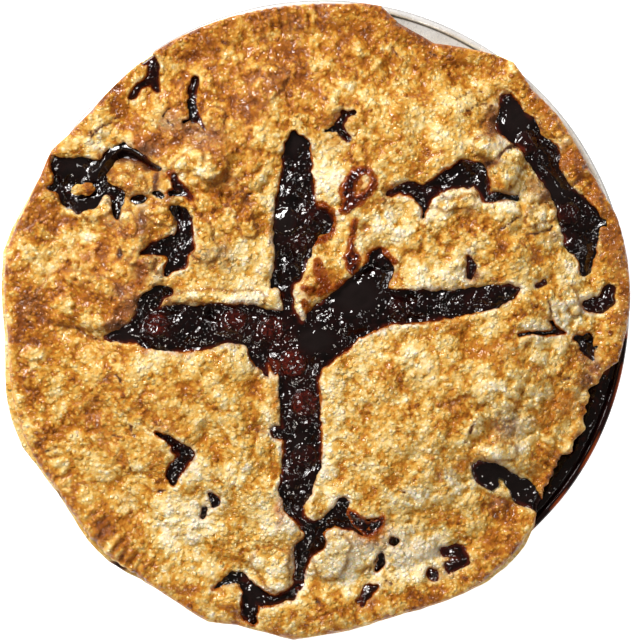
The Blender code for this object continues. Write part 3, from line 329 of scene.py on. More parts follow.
# Fine cracks: strokes of (pixel x, pixel y), half width in millimetres.
FINE_CRACKS = [
    ([(62, 329), (75, 327), (83, 332), (94, 340), (106, 338)], 0.35),
    ([(548, 302), (550, 321)], 0.35),
    ([(158, 171), (157, 180), (155, 190)], 0.40),
    ([(560, 381), (572, 378)], 0.35),
    ([(86, 136), (100, 128), (116, 119)], 0.22),
    ([(90, 138), (96, 132)], 0.25),
    ([(455, 100), (470, 92), (482, 93)], 0.22),
    ([(466, 112), (482, 104), (494, 106)], 0.22),
    ([(480, 128), (486, 117)], 0.22),
    ([(525, 236), (541, 232), (552, 228)], 0.3),
    ([(498, 232), (512, 222), (520, 216)], 0.22),
    ([(391, 47), (397, 55)], 0.4),
    ([(394, 22), (397, 25)], 0.6),
    ([(131, 425), (131, 433), (135, 436)], 0.5),
    ([(160, 491), (166, 490)], 0.45),
    ([(472, 423), (470, 433)], 0.35),
    ([(464, 440), (466, 442)], 0.35),
    ([(370, 568), (376, 560), (381, 552)], 0.5),
    ([(362, 572), (368, 566)], 0.35),
    ([(386, 582), (391, 583)], 0.55),
    ([(355, 464), (356, 466)], 0.5),
    ([(437, 473), (438, 475)], 0.5),
    ([(402, 490), (403, 491)], 0.5),
    ([(119, 254), (122, 255)], 0.7),
    ([(113, 436), (122, 436)], 0.2),
    ([(318, 601), (320, 604)], 0.4),
    ([(110, 373), (118, 375), (122, 382)], 0.3),
    ([(41, 505), (44, 512)], 0.3),
    ([(45, 452), (57, 448)], 0.3),
    ([(77, 484), (82, 482)], 0.4),
    ([(127, 460), (131, 470)], 0.25),
    ([(430, 52), (436, 56)], 0.25),
    ([(485, 167), (497, 160), (501, 153), (512, 146), (522, 147)], 0.55),
    ([(120, 251), (121, 257)], 0.9),
    ([(122, 289), (124, 294)], 0.8),
    ([(170, 108), (163, 116)], 0.3),
    ([(168, 122), (176, 129)], 0.35),
    ([(155, 175), (154, 187)], 0.3),
    ([(100, 149), (99, 158)], 0.5),
]

# Browned places, some of them painted shade in valleys and beside holes and flaps: pixel x, pixel
# y, reach x, reach y, strength.
BROWNING_AND_SHADE = [
    (205, 48, 20, 22, 0.85), (258, 52, 14, 14, 0.60), (289, 64, 11, 18, 0.65),
    (272, 84, 11, 12, 0.70), (301, 22, 9, 13, 0.50), (185, 69, 7, 8, 0.60),
    (210, 95, 8, 12, 0.40), (110, 107, 9, 6, 0.60), (152, 142, 14, 8, 0.85),
    (166, 152, 9, 8, 0.50), (257, 120, 9, 6, 0.45), (246, 197, 12, 17, 0.70),
    (221, 228, 12, 13, 0.60), (262, 160, 12, 9, 0.35), (62, 227, 14, 10, 0.65),
    (55, 246, 18, 5, 0.30), (26, 300, 13, 26, 0.90), (102, 262, 8, 10, 0.50),
    (60, 302, 11, 5, 0.45), (92, 296, 8, 6, 0.50), (120, 317, 17, 11, 0.65),
    (300, 28, 6, 8, 0.60), (345, 32, 30, 16, 0.55), (366, 38, 10, 10, 0.95),
    (437, 72, 38, 9, 0.55), (464, 65, 24, 7, 0.75), (338, 70, 14, 12, 0.55),
    (398, 70, 13, 9, 0.70), (396, 110, 9, 10, 0.60), (393, 140, 13, 10, 0.70),
    (362, 140, 12, 20, 0.45), (538, 100, 12, 17, 0.60), (577, 165, 12, 24, 0.85),
    (597, 204, 12, 21, 0.75), (609, 253, 12, 28, 0.75), (616, 296, 8, 30, 0.70),
    (472, 221, 12, 9, 0.50), (528, 251, 18, 10, 0.55), (482, 263, 8, 12, 0.55),
    (489, 186, 10, 5, 0.60), (503, 118, 7, 11, 0.70), (537, 202, 5, 7, 0.45),
    (383, 382, 16, 15, 0.60), (351, 420, 6, 5, 0.45), (374, 430, 9, 5, 0.50),
    (391, 411, 9, 9, 0.45), (452, 415, 22, 22, 0.45), (512, 347, 24, 12, 0.60),
    (532, 383, 17, 12, 0.50), (568, 410, 17, 17, 0.75), (546, 455, 10, 10, 0.25),
    (467, 460, 12, 10, 0.35), (433, 503, 12, 12, 0.75), (490, 550, 16, 15, 0.80),
    (505, 515, 28, 14, 0.60), (450, 516, 10, 11, 0.40),
    (420, 596, 30, 9, 0.60), (335, 606, 20, 13, 0.65), (307, 619, 9, 11, 0.85),
    (345, 473, 6, 8, 0.35), (18, 338, 9, 18, 0.90), (34, 344, 16, 8, 0.60),
    (35, 378, 10, 8, 0.90), (81, 407, 18, 14, 0.75), (41, 430, 16, 8, 0.65),
    (116, 386, 9, 9, 0.50), (177, 398, 18, 17, 0.45), (240, 390, 24, 12, 0.50),
    (227, 428, 15, 9, 0.60), (105, 508, 10, 28, 0.80), (142, 495, 7, 11, 0.45),
    (130, 549, 11, 12, 0.80), (171, 585, 9, 6, 0.50), (190, 590, 6, 5, 0.40),
    (241, 552, 9, 10, 0.85), (216, 549, 9, 9, 0.40), (297, 617, 28, 11, 0.75),
    (224, 608, 13, 12, 0.60), (66, 450, 16, 10, 0.50), (114, 450, 7, 10, 0.50),
    (240, 100, 20, 14, 0.55), (430, 392, 14, 10, 0.35),
    (222, 28, 16, 14, 0.50), (262, 24, 20, 10, 0.15), (180, 100, 14, 16, 0.55),
    (155, 268, 12, 10, 0.45), (345, 122, 20, 12, 0.65), (455, 165, 14, 8, 0.50),
    (340, 145, 14, 12, 0.50), (612, 255, 14, 30, 0.70), (615, 300, 10, 30, 0.60),
    (580, 345, 14, 12, 0.50), (500, 215, 18, 14, 0.35), (505, 258, 18, 12, 0.50),
    (455, 575, 20, 14, 0.70), (100, 450, 16, 14, 0.45), (262, 100, 24, 20, 0.45),
    (188, 138, 16, 12, 0.75), (225, 146, 18, 14, 0.60), (158, 162, 10, 10, 0.80),
    (143, 220, 10, 20, 0.80), (125, 240, 14, 8, 0.60), (107, 262, 10, 12, 0.35),
    (259, 88, 20, 26, 0.55), (335, 52, 24, 14, 0.45), (95, 258, 30, 14, 0.40),
    (600, 300, 16, 40, 0.40), (470, 232, 26, 10, 0.35), (200, 108, 24, 14, 0.45),
    (118, 322, 18, 12, 1.00), (132, 300, 10, 16, 0.90), (128, 270, 12, 12, 0.35),
    (72, 226, 16, 9, 0.50), (28, 322, 12, 26, 0.60), (38, 380, 8, 10, 0.60),
    (25, 348, 8, 14, 0.60), (330, 140, 10, 12, 0.40), (352, 150, 16, 12, 0.35),
    (495, 192, 18, 6, 0.75), (542, 178, 12, 20, 0.60),
    (550, 145, 8, 14, 0.50), (490, 75, 20, 8, 0.45), (75, 372, 8, 18, 0.50),
    (120, 388, 12, 12, 0.35), (575, 370, 14, 14, 0.40), (545, 425, 14, 12, 0.50),
    (495, 292, 14, 8, 0.30),
    (232, 588, 12, 8, 0.35), (508, 184, 14, 8, 0.55), (200, 182, 14, 6, 0.45),
    (466, 578, 18, 12, 1.00),
]

# Pale, floury places: pixel x, pixel y, reach x, reach y, strength.
PALE = [
    (183, 525, 22, 24, 0.95), (283, 518, 22, 22, 0.85), (273, 588, 21, 8, 0.85),
    (272, 560, 18, 18, 0.35), (165, 355, 26, 9, 0.50), (240, 465, 11, 10, 0.65),
    (276, 437, 7, 8, 0.60), (336, 558, 30, 28, 0.80), (411, 556, 30, 24, 0.80),
    (388, 328, 18, 7, 0.75), (326, 452, 5, 28, 0.75), (505, 453, 20, 11, 0.80),
    (416, 450, 10, 11, 0.50), (450, 481, 11, 9, 0.55), (398, 399, 6, 5, 0.60),
    (535, 326, 15, 8, 0.50), (331, 170, 16, 20, 0.75), (468, 98, 32, 16, 0.55),
    (490, 146, 30, 9, 0.70), (505, 172, 19, 12, 0.60), (525, 216, 30, 21, 0.60),
    (451, 203, 38, 13, 0.65), (432, 270, 23, 20, 0.60), (570, 298, 18, 26, 0.80),
    (390, 232, 14, 16, 0.45), (170, 275, 20, 9, 0.60),
    (225, 296, 52, 7, 0.85), (249, 259, 22, 19, 0.75), (271, 206, 7, 34, 0.70),
    (167, 216, 13, 16, 0.65), (50, 262, 24, 13, 0.45), (95, 140, 24, 14, 0.55),
    (202, 130, 12, 9, 0.55), (196, 175, 24, 14, 0.60), (60, 147, 6, 8, 0.60),
    (172, 127, 14, 7, 0.45), (330, 215, 8, 14, 0.50), (322, 500, 14, 12, 0.55),
    (500, 385, 10, 5, 0.45), (15, 400, 6, 40, 0.45), (100, 200, 14, 8, 0.35),
    (345, 350, 20, 18, 0.30), (22, 236, 12, 30, 0.60), (18, 268, 9, 18, 0.45),
    (100, 122, 22, 12, 0.50), (190, 158, 12, 8, 0.50), (208, 120, 12, 7, 0.50),
    (158, 212, 10, 8, 0.45), (400, 500, 28, 12, 0.35), (372, 480, 24, 14, 0.25),
    (445, 80, 16, 6, 0.30), (545, 214, 12, 9, 0.50), (330, 560, 14, 26, 0.90),
    (535, 440, 16, 12, 0.45), (172, 515, 16, 22, 0.55), (275, 517, 26, 18, 0.60),
    (265, 370, 16, 12, 0.35), (500, 163, 14, 18, 0.45), (540, 350, 20, 14, 0.35),
    (6, 250, 7, 30, 0.75), (9, 300, 6, 30, 0.65), (9, 345, 6, 30, 0.60),
    (13, 385, 6, 24, 0.60), (22, 430, 7, 22, 0.50), (62, 238, 18, 9, 0.40),
    (90, 350, 10, 12, 0.35), (60, 400, 10, 16, 0.40), (112, 415, 12, 12, 0.35),
    (135, 212, 16, 16, 0.50), (190, 262, 20, 24, 0.45), (215, 285, 30, 14, 0.50),
    (75, 262, 22, 18, 0.40), (90, 235, 14, 14, 0.40), (130, 172, 16, 10, 0.40),
    (365, 548, 20, 12, 0.50), (268, 415, 9, 26, 0.50), (272, 297, 12, 8, 0.60),
    (301, 305, 5, 20, 0.70), (375, 176, 16, 13, 0.45), (182, 226, 10, 16, 0.45),
    (215, 352, 28, 6, 0.55), (341, 96, 12, 12, 0.65), (482, 148, 12, 12, 0.60),
    (347, 524, 28, 14, 0.40), (425, 502, 28, 16, 0.35),
]

# Purple-grey stains from the juice: pixel x, pixel y, reach x, reach y, strength.
STAINED = [
    (159, 277, 14, 10, 0.55), (210, 255, 11, 7, 0.60), (170, 120, 11, 9, 0.50),
    (206, 134, 11, 10, 0.65), (506, 424, 13, 12, 0.80), (446, 475, 8, 6, 0.45),
    (470, 260, 5, 12, 0.60), (115, 222, 10, 7, 0.50), (162, 432, 12, 7, 0.45),
    (415, 546, 22, 9, 0.35), (268, 431, 8, 6, 0.60), (122, 293, 8, 8, 0.55),
    (150, 262, 12, 8, 0.50), (490, 137, 8, 5, 0.45), (545, 192, 10, 8, 0.40),
    (548, 330, 14, 8, 0.40), (588, 355, 9, 10, 0.60), (215, 500, 9, 9, 0.35),
    (500, 500, 9, 7, 0.45), (363, 235, 9, 9, 0.35), (128, 502, 5, 9, 0.40),
    (303, 545, 5, 12, 0.50), (160, 600, 5, 5, 0.25), (386, 205, 9, 5, 0.40),
    (423, 213, 4, 10, 0.45), (595, 372, 7, 7, 0.50), (378, 545, 7, 7, 0.45),
]

# Syrup that ran over the crust, thick enough to stand up: strokes of (pixel x, pixel y, half
# width in pixels), and how dark it is.
SYRUP_SPOTS = {
    "syrup_ring": ([[(364, 171, 3.5), (356, 174, 5.5), (350, 182, 6.0), (347, 192, 7.5),
                     (350, 202, 8.5), (346, 208, 6.0), (342, 212, 2.5)],
                    [(364, 171, 3.0), (371, 175, 2.8), (374, 182, 2.6), (371, 190, 3.0),
                     (364, 196, 4.0), (356, 202, 5.0)]], 0.60),
    "syrup_drop": ([[(355, 222, 2.0), (353, 230, 2.4), (351, 240, 2.0), (351, 250, 3.2),
                     (352, 258, 7.5), (352, 265, 7.0), (353, 271, 4.5)]], 0.58),
    "syrup_edge_south": ([[(350, 512, 4.0), (358, 522, 6.5), (368, 528, 8.0), (377, 524, 6.5),
                           (382, 518, 3.0)]], 0.85),
}

# Thin red film that the syrup left in lines: strokes of (pixel x, pixel y, half width in pixels),
# and strength.
FILM_LINES = [
    ([(357, 178, 2.0), (361, 184, 2.5), (358, 191, 2.0)], 0.45),
    ([(317, 262, 3.5), (320, 272, 6.0), (324, 284, 6.5)], 0.75),
    ([(313, 204, 2.0), (323, 207, 2.8), (330, 213, 2.8), (332, 224, 2.5), (331, 235, 2.8),
      (324, 240, 2.8), (313, 244, 2.0)], 0.85),
    ([(368, 264, 3.5), (371, 255, 4.0), (379, 251, 3.5), (387, 256, 3.0), (393, 262, 2.0)], 0.95),
    ([(172, 175, 2.5), (180, 186, 4.0), (191, 199, 3.5)], 1.00),
    ([(168, 195, 2.0), (178, 192, 3.5)], 0.90),
    ([(305, 289, 3.0), (320, 293, 3.0), (345, 283, 2.0)], 0.80),
    ([(304, 302, 2.5), (308, 312, 2.0)], 0.75),
    ([(140, 264, 2.0), (144, 274, 3.5), (141, 284, 2.5)], 0.60),
]

# Thin red film on the crust, only a colour and a gloss: pixel x, pixel y, reach x, reach y,
# strength.
RED_FILM = [
    (312, 292, 8, 8, 0.60), (362, 184, 10, 12, 0.25), (370, 530, 17, 12, 0.70),
    (568, 152, 8, 12, 0.55), (545, 110, 8, 9, 0.60),
    (590, 205, 7, 10, 0.50), (600, 222, 6, 9, 0.50), (462, 465, 7, 7, 0.45),
    (52, 163, 6, 9, 0.80), (141, 144, 9, 6, 0.75), (275, 400, 4, 16, 0.35),
    (318, 380, 4, 18, 0.50),
    (280, 512, 5, 14, 0.55), (146, 349, 9, 5, 0.55), (182, 353, 16, 4, 0.45),
    (490, 115, 6, 10, 0.35), (465, 290, 22, 4, 0.35), (450, 322, 24, 4, 0.35),
    (535, 470, 8, 8, 0.35), (368, 258, 9, 7, 0.60), (60, 200, 7, 8, 0.35),
    (272, 230, 4, 20, 0.35), (392, 190, 9, 5, 0.55), (540, 495, 10, 12, 0.45),
    (562, 404, 15, 14, 0.50), (540, 420, 12, 10, 0.35), (500, 350, 20, 10, 0.30),
]

# Places where the crust is smoother than elsewhere: pixel x, pixel y, reach x, reach y, amount.
CALM = [
    (455, 100, 48, 26, 0.65), (183, 525, 22, 24, 0.55), (283, 518, 20, 22, 0.70),
    (336, 558, 28, 26, 0.60), (225, 296, 54, 8, 0.75), (249, 259, 22, 19, 0.60),
    (271, 206, 7, 34, 0.60), (411, 556, 28, 24, 0.55), (273, 588, 21, 8, 0.70),
    (510, 165, 24, 18, 0.55), (570, 298, 16, 24, 0.45), (505, 453, 18, 10, 0.50),
    (15, 400, 7, 60, 0.50), (240, 350, 22, 10, 0.35), (620, 300, 8, 40, 0.40),
]

# Places where the crust is heaped and craggy: pixel x, pixel y, reach x, reach y, amount.
HEAPED = [
    (215, 190, 60, 40, 0.90), (150, 210, 40, 40, 0.80), (220, 80, 50, 40, 0.60),
    (110, 150, 40, 40, 0.60), (350, 60, 50, 40, 0.60), (590, 180, 24, 50, 0.80),
    (500, 410, 40, 34, 0.70), (450, 250, 60, 40, 0.50), (80, 280, 50, 50, 0.80),
    (530, 215, 34, 28, 0.80), (445, 208, 34, 20, 0.60), (575, 300, 24, 26, 0.50),
    (60, 225, 40, 30, 0.70), (30, 350, 20, 60, 0.60), (60, 430, 40, 40, 0.50),
]

# Knobs and curled edges of the crust: pixel x, pixel y, reach in pixels, height.
KNOBS = [
    (272, 297, 9, 1.6), (482, 143, 12, 1.5), (505, 170, 17, 1.6), (520, 150, 10, 1.0),
    (275, 575, 20, 1.6), (285, 525, 16, 1.2), (232, 600, 12, 1.2), (215, 150, 22, 1.6),
    (190, 172, 18, 1.2), (160, 215, 16, 1.2), (212, 122, 12, 1.2), (270, 75, 20, 1.2),
    (120, 190, 18, 1.0), (95, 135, 18, 0.8), (60, 260, 22, 1.0), (205, 258, 14, 1.4),
    (150, 262, 14, 1.0), (335, 560, 26, 1.2), (183, 525, 24, 0.8), (507, 455, 18, 1.4),
    (570, 300, 18, 1.2), (530, 215, 20, 0.8), (452, 208, 26, 0.8), (430, 270, 26, 0.8),
    (580, 165, 12, 1.0), (600, 210, 12, 1.0), (612, 260, 12, 0.8), (345, 30, 26, 0.8),
    (260, 215, 14, 0.8), (300, 120, 14, 0.7), (398, 35, 14, 1.0), (565, 410, 16, 1.0),
    (487, 148, 14, 1.2), (508, 174, 18, 1.0), (136, 186, 12, 0.8), (120, 206, 7, 0.8),
]

# Lobes and flaps of crust that end in a step: strokes of (pixel x, pixel y, half width in
# pixels), height.
LEDGES = [
    ([(481, 149, 9), (495, 148, 12), (508, 143, 8)], 2.6),
    ([(497, 182, 11), (504, 170, 15), (512, 161, 10)], 3.4),
    ([(66, 298, 28), (96, 302, 27)], 1.5),
    ([(182, 166, 9), (196, 160, 11)], 1.4),
    ([(205, 172, 8), (220, 168, 10)], 1.2),
    ([(203, 124, 9), (216, 121, 11)], 1.6),
    ([(154, 213, 11), (168, 220, 9)], 1.3),
    ([(92, 210, 10), (104, 207, 9)], 1.1),
    ([(128, 218, 9), (132, 228, 8)], 1.2),
    ([(200, 225, 9), (206, 250, 13)], 1.4),
    ([(172, 297, 5), (225, 297, 7), (258, 298, 8)], 0.9),
    ([(272, 562, 19), (276, 578, 14)], 1.4),
    ([(330, 562, 17), (338, 545, 12)], 1.0),
    ([(488, 452, 8), (510, 450, 8)], 1.0),
    ([(572, 172, 11), (568, 178, 8)], 1.5),
    ([(596, 204, 7), (597, 210, 7)], 1.0),
    ([(548, 124, 7), (556, 134, 6)], 1.0),
    ([(533, 218, 9), (547, 213, 8)], 1.2),
    ([(430, 201, 6), (450, 206, 9), (468, 200, 7)], 0.9),
    ([(566, 296, 9), (574, 306, 8)], 1.0),
    ([(140, 258, 10), (150, 264, 8)], 1.0),
    ([(272, 80, 16), (262, 92, 12)], 1.3),
    ([(238, 200, 9), (250, 232, 10)], 0.9),
    ([(122, 182, 9), (140, 186, 9)], 0.8),
]

# Crust painted dark: wet with juice, and painted shade beside steps, under the holes' edges and
# on the rim turned from the light: pixel x, pixel y, reach x, reach y, strength.
SOAKED_AND_SHADED = [
    (493, 122, 9, 16, 0.85), (147, 150, 12, 7, 0.90), (118, 326, 14, 8, 0.85),
    (134, 306, 8, 13, 0.70), (124, 156, 20, 6, 1.00), (138, 159, 14, 6, 0.90),
    (108, 172, 5, 6, 0.60), (168, 122, 9, 12, 0.45), (158, 182, 4, 12, 0.60),
    (188, 128, 9, 10, 0.70), (545, 195, 7, 10, 0.65), (492, 197, 18, 4, 0.85),
    (467, 213, 9, 4, 0.55), (215, 184, 14, 5, 0.35), (228, 182, 9, 8, 0.45),
    (144, 222, 6, 17, 0.70), (140, 274, 7, 11, 0.60), (218, 140, 14, 4, 0.45),
    (226, 252, 5, 14, 0.45), (170, 200, 7, 4, 0.50),
    (160, 176, 5, 7, 0.40), (176, 126, 8, 6, 0.55), (28, 306, 9, 9, 0.45),
    (489, 164, 10, 4, 0.80), (302, 548, 4, 14, 0.50), (292, 555, 4, 16, 0.45),
    (252, 585, 6, 5, 0.35), (552, 238, 7, 4, 0.45), (506, 430, 12, 8, 0.40),
    (138, 200, 9, 5, 0.75), (128, 196, 6, 5, 0.40), (533, 186, 8, 10, 0.55),
    (587, 380, 7, 8, 0.85), (579, 436, 4, 9, 0.80), (566, 459, 7, 6, 0.90),
    (555, 479, 4, 8, 0.85), (595, 366, 6, 5, 0.80), (588, 352, 10, 8, 0.45),
    (474, 277, 5, 7, 0.60), (147, 168, 5, 4, 0.80), (617, 262, 7, 26, 0.35),
    (622, 320, 6, 28, 0.35), (612, 236, 7, 14, 0.30), (205, 142, 20, 7, 0.25),
    (284, 28, 2, 14, 0.45), (291, 28, 2, 15, 0.50), (298, 28, 2, 14, 0.45),
    (275, 80, 8, 7, 0.30), (266, 37, 4, 3, 0.55), (394, 25, 4, 3, 0.60),
    (260, 102, 18, 16, 0.16), (338, 138, 14, 14, 0.20), (135, 182, 18, 16, 0.18),
    (220, 140, 16, 12, 0.16), (90, 260, 40, 18, 0.08), (95, 412, 24, 16, 0.10),
]

# Smooth, mirror-like pools of jam in the filling, also painted a lighter sheen: pixel x, pixel y,
# reach x, reach y, amount.
JAM_POOLS = [
    (355, 296, 22, 17, 1.0), (315, 340, 17, 12, 1.0), (285, 222, 9, 14, 1.0),
    (300, 445, 8, 12, 0.6), (470, 187, 20, 9, 0.4), (515, 120, 14, 20, 0.80),
    (556, 190, 14, 12, 0.8), (86, 166, 24, 12, 0.8), (125, 150, 22, 8, 0.8),
    (90, 205, 16, 8, 0.7), (295, 140, 14, 14, 0.8), (505, 480, 34, 22, 0.7),
    (595, 295, 12, 12, 0.7), (255, 595, 12, 14, 0.5), (130, 335, 14, 9, 0.6),
]

# Maroon skins that show in the filling: pixel x, pixel y, reach x, reach y, amount.
MAROON = [
    (294, 364, 14, 13, 0.95), (306, 404, 12, 12, 0.85), (270, 332, 14, 13, 0.75),
    (235, 322, 14, 12, 0.65), (155, 325, 14, 11, 0.65), (283, 338, 10, 9, 0.70),
    (287, 225, 10, 12, 0.35), (300, 240, 10, 12, 0.45), (308, 214, 9, 10, 0.40),
    (345, 275, 14, 8, 0.35), (292, 470, 9, 12, 0.30), (440, 192, 18, 6, 0.35),
    (475, 300, 16, 8, 0.20), (520, 465, 8, 8, 0.30), (560, 235, 9, 9, 0.25),
]


# Dark spots of juice on the bottom crust: pixel x, pixel y, reach x, reach y, strength.
UNDER_CRUST_JUICE = [
    (43, 508, 5, 3, 0.9), (118, 566, 10, 5, 1.0), (38, 198, 5, 4, 1.0), (60, 495, 4, 4, 0.5),
    (537, 502, 14, 18, 1.0), (575, 450, 12, 34, 1.0), (595, 390, 10, 20, 1.0),
]


def photo_point(pixel_x, pixel_y):
    """Place on the pie of a pixel of the photo."""
    return (pixel_x - AXIS_PIXEL[0]) * PIXEL, (AXIS_PIXEL[1] - pixel_y) * PIXEL


def photo_stroke(stroke):
    """A stroke given in the photo's pixels, in millimetres."""
    return [(*photo_point(px, py), PIXEL * half) for px, py, half in stroke]


def smooth_step(low, high, value):
    """Ease from 0 at low to 1 at high."""
    t = np.clip((value - low) / (high - low), 0.0, 1.0)
    return t * t * (3.0 - 2.0 * t)


def corner_value(i, j, seed):
    """A repeatable number from -1 to 1 for each lattice corner."""
    n = (i * 374761393 + j * 668265263 + seed * 974634777) & 0xFFFFFFFF
    n = ((n ^ (n >> 13)) * 1274126177) & 0xFFFFFFFF
    n = n ^ (n >> 16)
    return n / 2147483647.5 - 1.0


def turned(x, y, size, seed):
    """Coordinates in cells of the given size, on a lattice turned for each seed."""
    turn = 0.7 * seed
    u = (x * math.cos(turn) - y * math.sin(turn)) / size
    v = (x * math.sin(turn) + y * math.cos(turn)) / size
    return u, v


def noise(x, y, size, seed):
    """Smooth noise from -1 to 1 with lumps of about the given size."""
    u, v = turned(x, y, size, seed)
    i = np.floor(u).astype(np.int64)
    j = np.floor(v).astype(np.int64)
    s = smooth_step(0.0, 1.0, u - i)
    t = smooth_step(0.0, 1.0, v - j)
    near = corner_value(i, j, seed) * (1 - s) + corner_value(i + 1, j, seed) * s
    far = corner_value(i, j + 1, seed) * (1 - s) + corner_value(i + 1, j + 1, seed) * s
    return near * (1 - t) + far * t


def lumps(x, y, size, seed):
    """Rounded heaps with creases between them, from about -0.5 to 1."""
    u, v = turned(x, y, size, seed)
    i = np.floor(u).astype(np.int64)
    j = np.floor(v).astype(np.int64)
    best = np.full(np.shape(x), -9.0)
    for di in (-1, 0, 1):
        for dj in (-1, 0, 1):
            a = i + di
            b = j + dj
            pu = a + 0.5 + 0.42 * corner_value(a, b, seed)
            pv = b + 0.5 + 0.42 * corner_value(a, b, seed + 100)
            top = 0.75 + 0.25 * corner_value(a, b, seed + 200)
            best = np.maximum(best, top - 1.6 * ((u - pu) ** 2 + (v - pv) ** 2))
    return best


def wander(x, y, amount, size, seed):
    """The same places moved about a little, so that shapes lose their regularity."""
    return x + amount * noise(x, y, size, seed), y + amount * noise(x, y, size, seed + 1)


def patches(x, y, table):
    """Strength of the strongest soft patch of a table at each place."""
    total = np.zeros(np.shape(x))
    for px, py, reach_x, reach_y, strength in table:
        cx, cy = photo_point(px, py)
        across = ((x - cx) / (reach_x * PIXEL)) ** 2 + ((y - cy) / (reach_y * PIXEL)) ** 2
        total = np.maximum(total, strength * np.exp(-0.7 * across ** 1.3))
    return total


def stroke_distance(x, y, stroke):
    """Distance to the edge of one tapering stroke, negative inside it."""
    best = np.full(np.shape(x), FAR)
    for (ax, ay, aw), (bx, by, bw) in zip(stroke, stroke[1:]):
        dx = bx - ax
        dy = by - ay
        t = np.clip(((x - ax) * dx + (y - ay) * dy) / (dx * dx + dy * dy), 0.0, 1.0)
        distance = np.hypot(x - ax - t * dx, y - ay - t * dy) - (aw + t * (bw - aw))
        best = np.minimum(best, distance)
    return best


def nearest_stroke(x, y, strokes):
    """Distance to the edge of the nearest of several strokes, negative inside them."""
    best = np.full(np.shape(x), FAR)
    for stroke in strokes:
        best = np.minimum(best, stroke_distance(x, y, stroke))
    return best


def vent_distance(x, y, names):
    """Distance to the nearest named vent, negative inside it, with a ragged edge."""
    best = nearest_stroke(x, y, [stroke for name in names for stroke in VENTS[name]])
    for flap in FLAPS.values():
        best = np.maximum(best, -stroke_distance(x, y, flap))
    ragged = 0.50 * noise(x, y, 3.4, 5) + 0.34 * noise(x, y, 1.7, 6)
    return best - 0.1 + ragged + 0.18 * noise(x, y, 0.9, 7)


def crust_distance(x, y):
    """Above zero where the lid has crust, below zero in its vents."""
    return vent_distance(x, y, VENTS)


def filling_vent(x, y):
    """Above zero where a vent opens on the one big filling."""
    return -vent_distance(x, y, [name for name in VENTS if name not in RIM_POOLS.values()])


def polar(x, y):
    """Radius and angle in degrees, from 0 to 360."""
    return np.hypot(x, y), np.degrees(np.arctan2(y, x)) % 360.0


def from_table(table, angle):
    """Value at an angle, read between the rows of a table that goes once round."""
    return np.interp(angle, [row[0] for row in table], [row[1] for row in table], period=360.0)


def from_section(section, radius):
    """Height at a radius, read from a section given as (radius, height)."""
    return np.interp(radius, *zip(*section))


def crimp_strength(angle):
    """How clear the fork marks are at an angle."""
    strength = np.zeros(np.shape(angle))
    for middle, half, amount in CRIMPED:
        away = np.abs((angle - middle + 180.0) % 360.0 - 180.0)
        strength = np.maximum(strength, amount * (1.0 - smooth_step(half - 3.0, half, away)))
    return strength


def crimp(angle):
    """Fork marks: 0 on a ridge, 1 in a groove."""
    return crimp_strength(angle) * (0.5 - 0.5 * np.cos(2.0 * math.pi * angle / CRIMP_PITCH))


def outline_radius(angle):
    """Edge of the bottom crust."""
    return from_table(OUTLINE, angle)


def torn_edge(angle):
    """How far tears take the crust's edge in or out; 1 degree is about 2 mm of edge."""
    middle, half = TORN
    amount = 1.0 - smooth_step(half - 3.0, half + 1.0, np.abs(angle - middle))
    along = 2.0 * angle
    tears = 1.5 * noise(along, 0.0 * along, 5.0, 151) + 0.9 * noise(along, 0.0 * along, 1.9, 152)
    return amount * (tears - 0.5)


def lid_radius(angle):
    """Edge of the lid, scalloped where it is crimped."""
    inset = from_table(LID_INSET, angle) + 0.5 * crimp(angle)
    return outline_radius(angle) - inset + torn_edge(angle)


def droop(radius):
    """How far the crust hangs down outside the tin's rim."""
    return DROOP_SLOPE * np.maximum(radius - DROOP_START, 0.0)


def lid_under(x, y):
    """Underside of the lid."""
    radius = np.hypot(x, y)
    height = LID_SEAT + DOME_RISE * smooth_step(-DOME_FOOT, -DOME_SHOULDER, -radius)
    height = height + CROWN_RISE * np.maximum(1.0 - (radius / DOME_SHOULDER) ** 2, 0.0)
    height = height + LID_STEP * smooth_step(-108.0, -103.0, -radius)
    inner = smooth_step(-104.0, -88.0, -radius)
    for sx, sy, reach, rise in SWELLINGS:
        height = height + inner * rise * np.exp(-((x - sx) ** 2 + (y - sy) ** 2) / reach ** 2)
    return height - droop(radius) - sunk(x, y)


def sunk(x, y):
    """How far the torn flap in the left hole lies below the lid."""
    line_x, line_y = zip(*SUNK_EDGE)
    below = np.interp(x, line_x, line_y) - y
    across = smooth_step(-0.8, 1.6, below) * (1.0 - smooth_step(3.0, 14.0, below))
    along = smooth_step(-92.0, -86.0, x) * (1.0 - smooth_step(-68.0, -62.0, x))
    return SUNK_DEPTH * across * along * (1.0 - smooth_step(97.0, 103.0, np.hypot(x, y)))


def lid_smooth_top(x, y):
    """Upper face of the lid without its crags."""
    radius = np.hypot(x, y)
    trough = np.exp(-((radius - 106.5) / 3.5) ** 2)
    rim = smooth_step(96.0, 112.0, radius)
    thickness = LID_THICKNESS * (1.0 - rim) + RIM_THICKNESS * rim - 1.1 * trough
    return lid_under(x, y) + thickness


def crack_depth(x, y):
    """Fine cracks: 1 along the middle of a crack, 0 away from it."""
    depth = np.zeros(np.shape(x))
    wx, wy = wander(x, y, 0.5, 1.8, 61)
    for line, half in FINE_CRACKS:
        stroke = [(*photo_point(px, py), half) for px, py in line]
        distance = stroke_distance(wx, wy, stroke)
        depth = np.maximum(depth, 1.0 - smooth_step(-0.15, 0.40, distance))
    return depth * np.clip(0.75 + 0.5 * noise(x, y, 2.0, 63), 0.0, 1.0)


